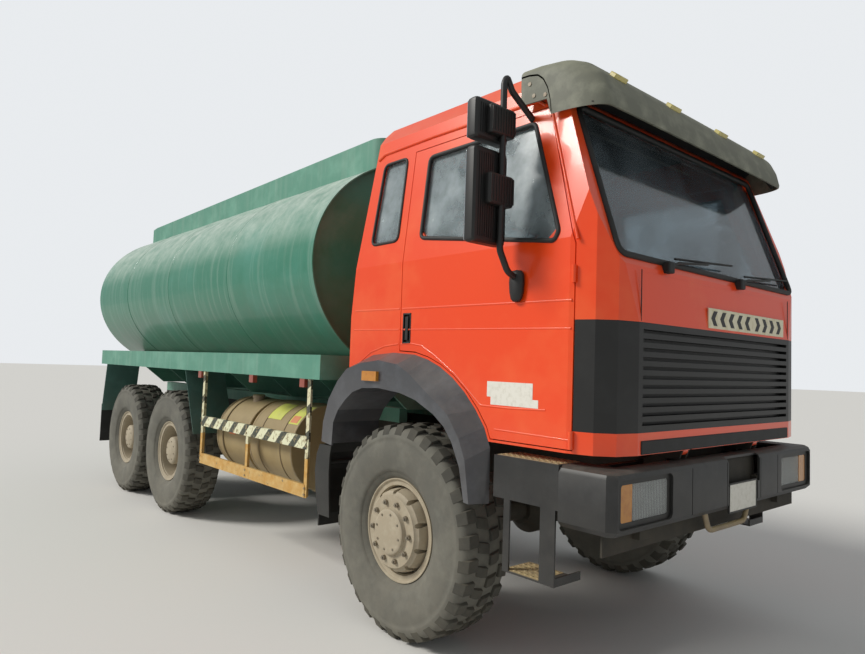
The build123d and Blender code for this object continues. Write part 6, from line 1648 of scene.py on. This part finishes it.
@dataclass
class LowerWorks(Assembly):
    """Steps, arches, guards, fuel tank, deck and what is under them."""

    guard_offsets_mm: tuple[float, float, float] = (1050.0, 1985.0, 2905.0)
    guard_x_mm: float = 1236.0
    guard_post_mm: float = 46.0
    guard_upper_mm: float = 1010.0
    guard_lower_mm: float = 672.0
    guard_rail_mm: float = 90.0
    deck_bottom_mm: float = 1463.0
    step_outer_mm: float = 1165.0
    step_depth_mm: float = 190.0
    step_front_mm: float = 1115.0
    step_rear_mm: float = 700.0
    step_top_mm: float = 1143.0
    low_step_mm: tuple[float, float, float] = (1004.0, 781.0, 580.0)
    boss_section: Outline = ((0.0115, 0.002), (0.008, 0.0056), (0.0055, 0.0056), (0.005, 0.003))
    fuel_radius: float = 0.340
    fuel_x: float = -0.800
    fuel_z: float = 0.905
    fuel_offsets_mm: tuple[float, float, float] = (1420.0, 2130.0, 2790.0)
    cap_section: Outline = ((0.050, -0.03), (0.050, 0.020), (0.056, 0.022), (0.056, 0.042), (0.048, 0.050),
                            (0.004, 0.052))
    seat_x: float = 0.715
    seat_offset_mm: float = 100.0
    seat_lean_deg: float = 8.0

    def build(self) -> None:
        """Dresses the solids, then builds the guards, the treads, the tank's fittings and the seats."""
        table = (("arch_trims", "arch_moulding", 10.0, 62.0),
                 ("front_mudguards", "black_moulding", 6.0, 40.0), ("mud_flaps", "seal_rubber", 3.0, 40.0),
                 ("cab_steps", "bumper_paint", 3.0, 35.0), ("deck_frame", "deck_paint", 3.0, 35.0),
                 ("rear_mudguards", "mudguard_paint", 2.0, 35.0), ("fuel_tank", "fuel_tank_paint", 6.0, 35.0),
                 ("battery_box", "frame_paint", 8.0, 35.0), ("air_bottles", "frame_paint", 6.0, 35.0),
                 ("chassis_frame", "frame_paint", 3.0, 35.0), ("front_axle", "frame_paint", 5.0, 40.0),
                 ("rear_axles", "frame_paint", 5.0, 40.0), ("leaf_springs", "frame_paint", 2.0, 35.0),
                 ("engine", "cast_iron", 10.0, 35.0), ("radiator", "cast_iron", 4.0, 35.0),
                 ("driveline", "cast_iron", 5.0, 40.0), ("steering_knuckle_left", "frame_paint", 3.0, 40.0),
                 ("steering_knuckle_right", "frame_paint", 3.0, 40.0),
                 ("dashboard", "black_moulding", 12.0, 40.0), ("steering_wheel", "black_moulding", 2.0, 50.0))
        for node, finish, bevel, smooth in table:
            self.shop.dress(node, finish, bevel, smooth)
        LOG.info("%d lower solids dressed", len(table))
        self.build_guards()
        self.build_step_treads()
        self.build_fuel_fittings()
        self.build_seats()

    def guard_slab(self, mesh: Mesh, side: Side, x: Pair, y: Pair, z: Pair) -> None:
        """Adds a box of the guard.

        Args:
            mesh: the mesh to add to.
            side: the guard's side.
            x: its two depths behind the guard's face, in metres.
            y: its two ends.
            z: its two heights.
        """
        s, face = side.value, side.value * mm(self.guard_x_mm)
        box_into(mesh, (face - s * x[1], y[0], z[0]), (face - s * x[0], y[1], z[1]))

    def build_guards(self) -> None:
        """Builds the side guards: flanged rails and angle posts, each with its own paint, and their bolts."""
        rails = (("upper", self.guard_upper_mm, "guard_stripes"),
                 ("lower", self.guard_lower_mm, "guard_lower_paint"))
        first, middle, last = (from_axle(v) for v in self.guard_offsets_mm)
        half = mm(self.guard_post_mm / 2)
        foot, change = mm(self.guard_lower_mm - self.guard_rail_mm / 2), mm(self.guard_upper_mm - 110)
        for side in Side:
            s, word = side.value, side.word
            for level, z_mm, finish in rails:
                rail = bmesh.new()
                z0, z1 = mm(z_mm - self.guard_rail_mm / 2), mm(z_mm + self.guard_rail_mm / 2)
                for x, z in (((0.0, 0.004), (z0, z1)), ((0.003, 0.028), (z0, z0 + 0.004)),
                             ((0.003, 0.028), (z1 - 0.004, z1))):
                    self.guard_slab(rail, side, x, (first, last), z)
                kept = ["side_guards"] if level == "lower" and side is Side.RIGHT else []
                self.shop.add(f"guard_{level}_rail_{word}", rail, finish, "chassis", "guard_paint", 1.2, 35.0,
                              kept)
            tops, feet = bmesh.new(), bmesh.new()
            for y, top_mm in ((first, self.deck_bottom_mm), (middle, self.guard_upper_mm + 45),
                              (last, self.deck_bottom_mm)):
                for mesh, z in ((tops, (change, mm(top_mm))), (feet, (foot, change))):
                    self.guard_slab(mesh, side, (0.0045, 0.010), (y - half, y + half), z)
                    self.guard_slab(mesh, side, (0.0045, 0.046), (y + half - 0.006, y + half), z)
            self.shop.add(f"guard_post_tops_{word}", tops, "post_stripes", "chassis", "guard_paint", 1.0)
            self.shop.add(f"guard_post_feet_{word}", feet, "guard_lower_paint", "chassis", "guard_paint", 1.0)
            bolts = bmesh.new()
            x = s * mm(self.guard_x_mm) - s * 0.001
            for y in (first, middle, last):
                for z_mm in (self.guard_upper_mm, self.guard_lower_mm):
                    for dz in (-0.022, 0.022):
                        head = circle((x, y, mm(z_mm) + dz), 0.009, "yz", 6)
                        prism_into(bolts, head, Vector((s * 0.0065, 0, 0)))
            self.shop.add(f"guard_bolts_{word}", bolts, "bare_steel", "chassis", "guard_paint")

    def build_step_treads(self) -> None:
        """Adds dusty pressed treads with rows of bosses on the upper and lower steps."""
        outer = self.step_outer_mm
        places = ((outer - self.step_depth_mm + 8, outer - 12, self.step_front_mm - 12,
                   self.step_rear_mm + 12, self.step_top_mm), (outer - 206, outer - 6, *self.low_step_mm))
        for side in Side:
            treads = bmesh.new()
            for x0, x1, front, rear, z in places:
                lo, hi = sorted((side.value * mm(x0), side.value * mm(x1)))
                box_into(treads, (lo, from_axle(-front), mm(z) + 0.0002),
                         (hi, from_axle(-rear), mm(z) + 0.0026))
                nx, ny = int((x1 - x0) / 34), int((front - rear) / 36)
                for i in range(nx):
                    for k in range(ny):
                        cx = lo + (hi - lo) * (i + 0.5) / nx
                        cy = from_axle(-front) + mm(front - rear) * (k + 0.5) / ny
                        rows = [circle((cx, cy, mm(z) + h), r, "xy", 8) for r, h in self.boss_section]
                        rings_into(treads, rows, False, True)
            self.shop.add(f"step_treads_{side.word}", treads, "bare_steel", "chassis", "bumper_paint", 0.0,
                          35.0)

    def build_fuel_fittings(self) -> None:
        """Adds the fuel tank's straps and end beads, its blank labels and its filler cap."""
        lo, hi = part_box("fuel_tank")
        radius, x, z = self.fuel_radius, self.fuel_x, self.fuel_z
        front, split, rear = (from_axle(v) for v in self.fuel_offsets_mm)
        straps = bmesh.new()
        for y in (front + 0.175, split - 0.185, rear - 0.145):
            for dy in (0.0, 0.052):
                lathe_ring(straps, (x, y + dy, z), radius + 0.0015, 0.0035, 0.005)
        for y in (front + 0.012, split - 0.02, split + 0.075, rear - 0.02):
            lathe_ring(straps, (x, y, z), radius - (0.0015 if y < split else 0.0075), 0.004, 0.012)
        self.shop.add("fuel_tank_straps", straps, "bare_steel", "chassis", "fuel_tank_paint", 0.0, 40.0)
        for word, lift, spots in (("yellow", 0.0, ((1.725, 110.0, 143.0, 0.27), (1.44, 110.0, 146.0, 0.145))),
                                  ("orange", 0.0015,
                                   ((1.465, 133.0, 144.0, 0.105), (2.40, 160.0, 176.0, 0.12)))):
            label = bmesh.new()
            for offset, a0, a1, length in spots:
                r = radius + (0.002 if offset < 2.1 else -0.004) + lift
                y0 = from_axle(offset * 1000)
                rows = []
                for a in (math.radians(a0 + (a1 - a0) * k / 8) for k in range(9)):
                    rows.append([Vector((x + q * math.cos(a), y0 + e * length, z + q * math.sin(a)))
                                 for q, e in ((r, 0), (r + 0.0012, 0), (r + 0.0012, 1), (r, 1))])
                rings_into(label, rows, True, True)
            self.shop.add(f"fuel_label_{word}", label, f"{word}_label", "chassis", "fuel_tank_paint")
        cap = bmesh.new()
        rows = [circle((x - 0.10, rear - 0.33, z + radius - 0.022 + h), r, "xy", 20)
                for r, h in self.cap_section]
        rings_into(cap, rows, True, True)
        self.shop.add("fuel_filler_cap", cap, "bare_steel", "chassis", "fuel_tank_paint", 0.0, 35.0)
        LOG.info("fuel tank box %s %s", tuple(round(v, 3) for v in lo), tuple(round(v, 3) for v in hi))

    def build_seats(self) -> None:
        """Replaces the seat blocks by stuffed cushions and backs on their bases."""
        low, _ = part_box("seats")
        y = from_axle(self.seat_offset_mm)
        turn = Matrix.Rotation(math.radians(-90.0 - self.seat_lean_deg), 4, "X")
        for side in Side:
            cx = side.value * self.seat_x
            base = boxes(((cx - 0.20, y - 0.24, low[2]), (cx + 0.20, y + 0.19, 1.862)))
            self.shop.add(f"seat_base_{side.word}", base, "black_moulding", "cab", "black_plastic", 10.0)
            cushion = bmesh.new()
            pillow_into(cushion, (cx - 0.248, y - 0.288, 1.852), (cx + 0.248, y + 0.205, 1.985), 0.028, 0.012,
                        5)
            made = self.shop.add(f"seat_cushion_{side.word}", cushion, "seat_cloth", "cab", "seat_cover", 0.0,
                                 60.0, ["seats"] if side is Side.RIGHT else [])
            back = bmesh.new()
            pillow_into(back, (cx - 0.24, -0.29, -0.065), (cx + 0.24, 0.31, 0.065), 0.022, 0.014, 5)
            for vert in back.verts:
                around = turn @ Vector((0.0, vert.co.y, vert.co.z))
                vert.co = Vector((vert.co.x, around.y + y + 0.29, around.z + 2.245))
            made = self.shop.add(f"seat_back_{side.word}", back, "seat_cloth", "cab", "seat_cover", 0.0, 60.0)


# Studio


@dataclass
class Studio:
    """Pale floor, soft light and the camera at the photograph's angle."""

    camera_at: Point = (-3.696, -5.764, 1.597)
    yaw: float = 0.7208
    pitch: float = 0.0565
    roll: float = 0.0336
    focal_px: float = 660.0
    width_px: float = 865.0
    fill_level: float = 0.42
    seen_level: float = 0.95
    glossy_level: float = 0.50
    through_level: float = 0.75
    sun_energy: float = 2.5
    sun_way: Point = (0.66, -0.48, -0.58)

    def build(self) -> None:
        """Builds the floor, the world, the lamps and the camera."""
        self.build_floor()
        self.build_light()
        self.build_camera()

    def build_floor(self) -> None:
        """Lays a wide pale floor."""
        mesh = bmesh.new()
        bmesh.ops.create_circle(mesh, cap_ends=True, segments=48, radius=90.0)
        floor = mesh_object("floor", mesh)
        made, _, shader = start_material("studio_floor")
        shader.inputs["Base Color"].default_value = linear("E4E3DF")
        shader.inputs["Roughness"].default_value = 0.9
        floor.data.materials.append(made)

    def build_light(self) -> None:
        """Sets a pale world and one soft sun on the side that the camera sees."""
        world = bpy.data.worlds.new("studio")
        bpy.context.scene.world = world
        world.use_nodes = True
        tree = world.node_tree
        tree.nodes.clear()
        ray = add_node(tree, "LightPath")
        level = add_node(tree, "Math", {"operation": "MULTIPLY_ADD", 1: self.seen_level - self.fill_level,
                                        2: self.fill_level}, {0: ray.outputs["Is Camera Ray"]})
        for ray_name, extra in (("Is Glossy Ray", self.glossy_level),
                                ("Is Transmission Ray", self.through_level)):
            level = add_node(tree, "Math", {"operation": "MULTIPLY_ADD", 1: extra - self.fill_level},
                             {0: ray.outputs[ray_name], 2: level})
        glow = add_node(tree, "Background", {"Color": linear("EEF1F4")}, {"Strength": level})
        add_node(tree, "OutputWorld", links={"Surface": glow})
        lamp = bpy.data.lights.new("soft_sun", "SUN")
        lamp.energy = self.sun_energy
        lamp.angle = math.radians(18.0)
        lamp.color = (1.0, 0.97, 0.92)
        sun = new_object("soft_sun", lamp)
        sun.rotation_mode = "QUATERNION"
        sun.rotation_quaternion = Vector(self.sun_way).to_track_quat("-Z", "Y")

    def build_camera(self) -> None:
        """Places the camera fitted to the photograph."""
        ahead = Vector((math.sin(self.yaw) * math.cos(self.pitch), math.cos(self.yaw) * math.cos(self.pitch),
                        math.sin(self.pitch)))
        right = Vector((math.cos(self.yaw), -math.sin(self.yaw), 0.0))
        up = right.cross(ahead)
        right2 = right * math.cos(self.roll) + up * math.sin(self.roll)
        up2 = up * math.cos(self.roll) - right * math.sin(self.roll)
        data = bpy.data.cameras.new("camera")
        data.sensor_fit = "HORIZONTAL"
        data.sensor_width = 36.0
        data.lens = self.focal_px / self.width_px * 36.0
        camera = new_object("camera", data)
        rows = Matrix((right2, up2, -ahead)).transposed()
        camera.matrix_world = Matrix.Translation(self.camera_at) @ rows.to_4x4()
        bpy.context.scene.camera = camera


def main() -> None:
    """Builds the whole scene in order."""
    logging.basicConfig(level=logging.INFO, format="%(message)s")
    bpy.ops.object.select_all(action="SELECT")
    bpy.ops.object.delete()
    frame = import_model()
    bpy.context.scene.view_settings.view_transform = "Standard"
    shop = Workshop(Palette(), frame["nodes"])
    Studio().build()
    for axle, y, middle, front in (("front", FRONT_AXLE_Y, 1082.5, True),
                                   ("middle", MIDDLE_AXLE_Y, 1042.5, False),
                                   ("rear", REAR_AXLE_Y, 1042.5, False)):
        for side in Side:
            RoadWheel(shop, axle, side, y, middle, front).build()
    TankVessel(shop).build()
    cab = CabShell(shop)
    cab.build()
    MirrorSet(shop).build(cab)
    FrontEnd(shop).build()
    LowerWorks(shop).build()
    LOG.info("%d pieces added", shop.count)


if __name__ == "__main__":
    main()
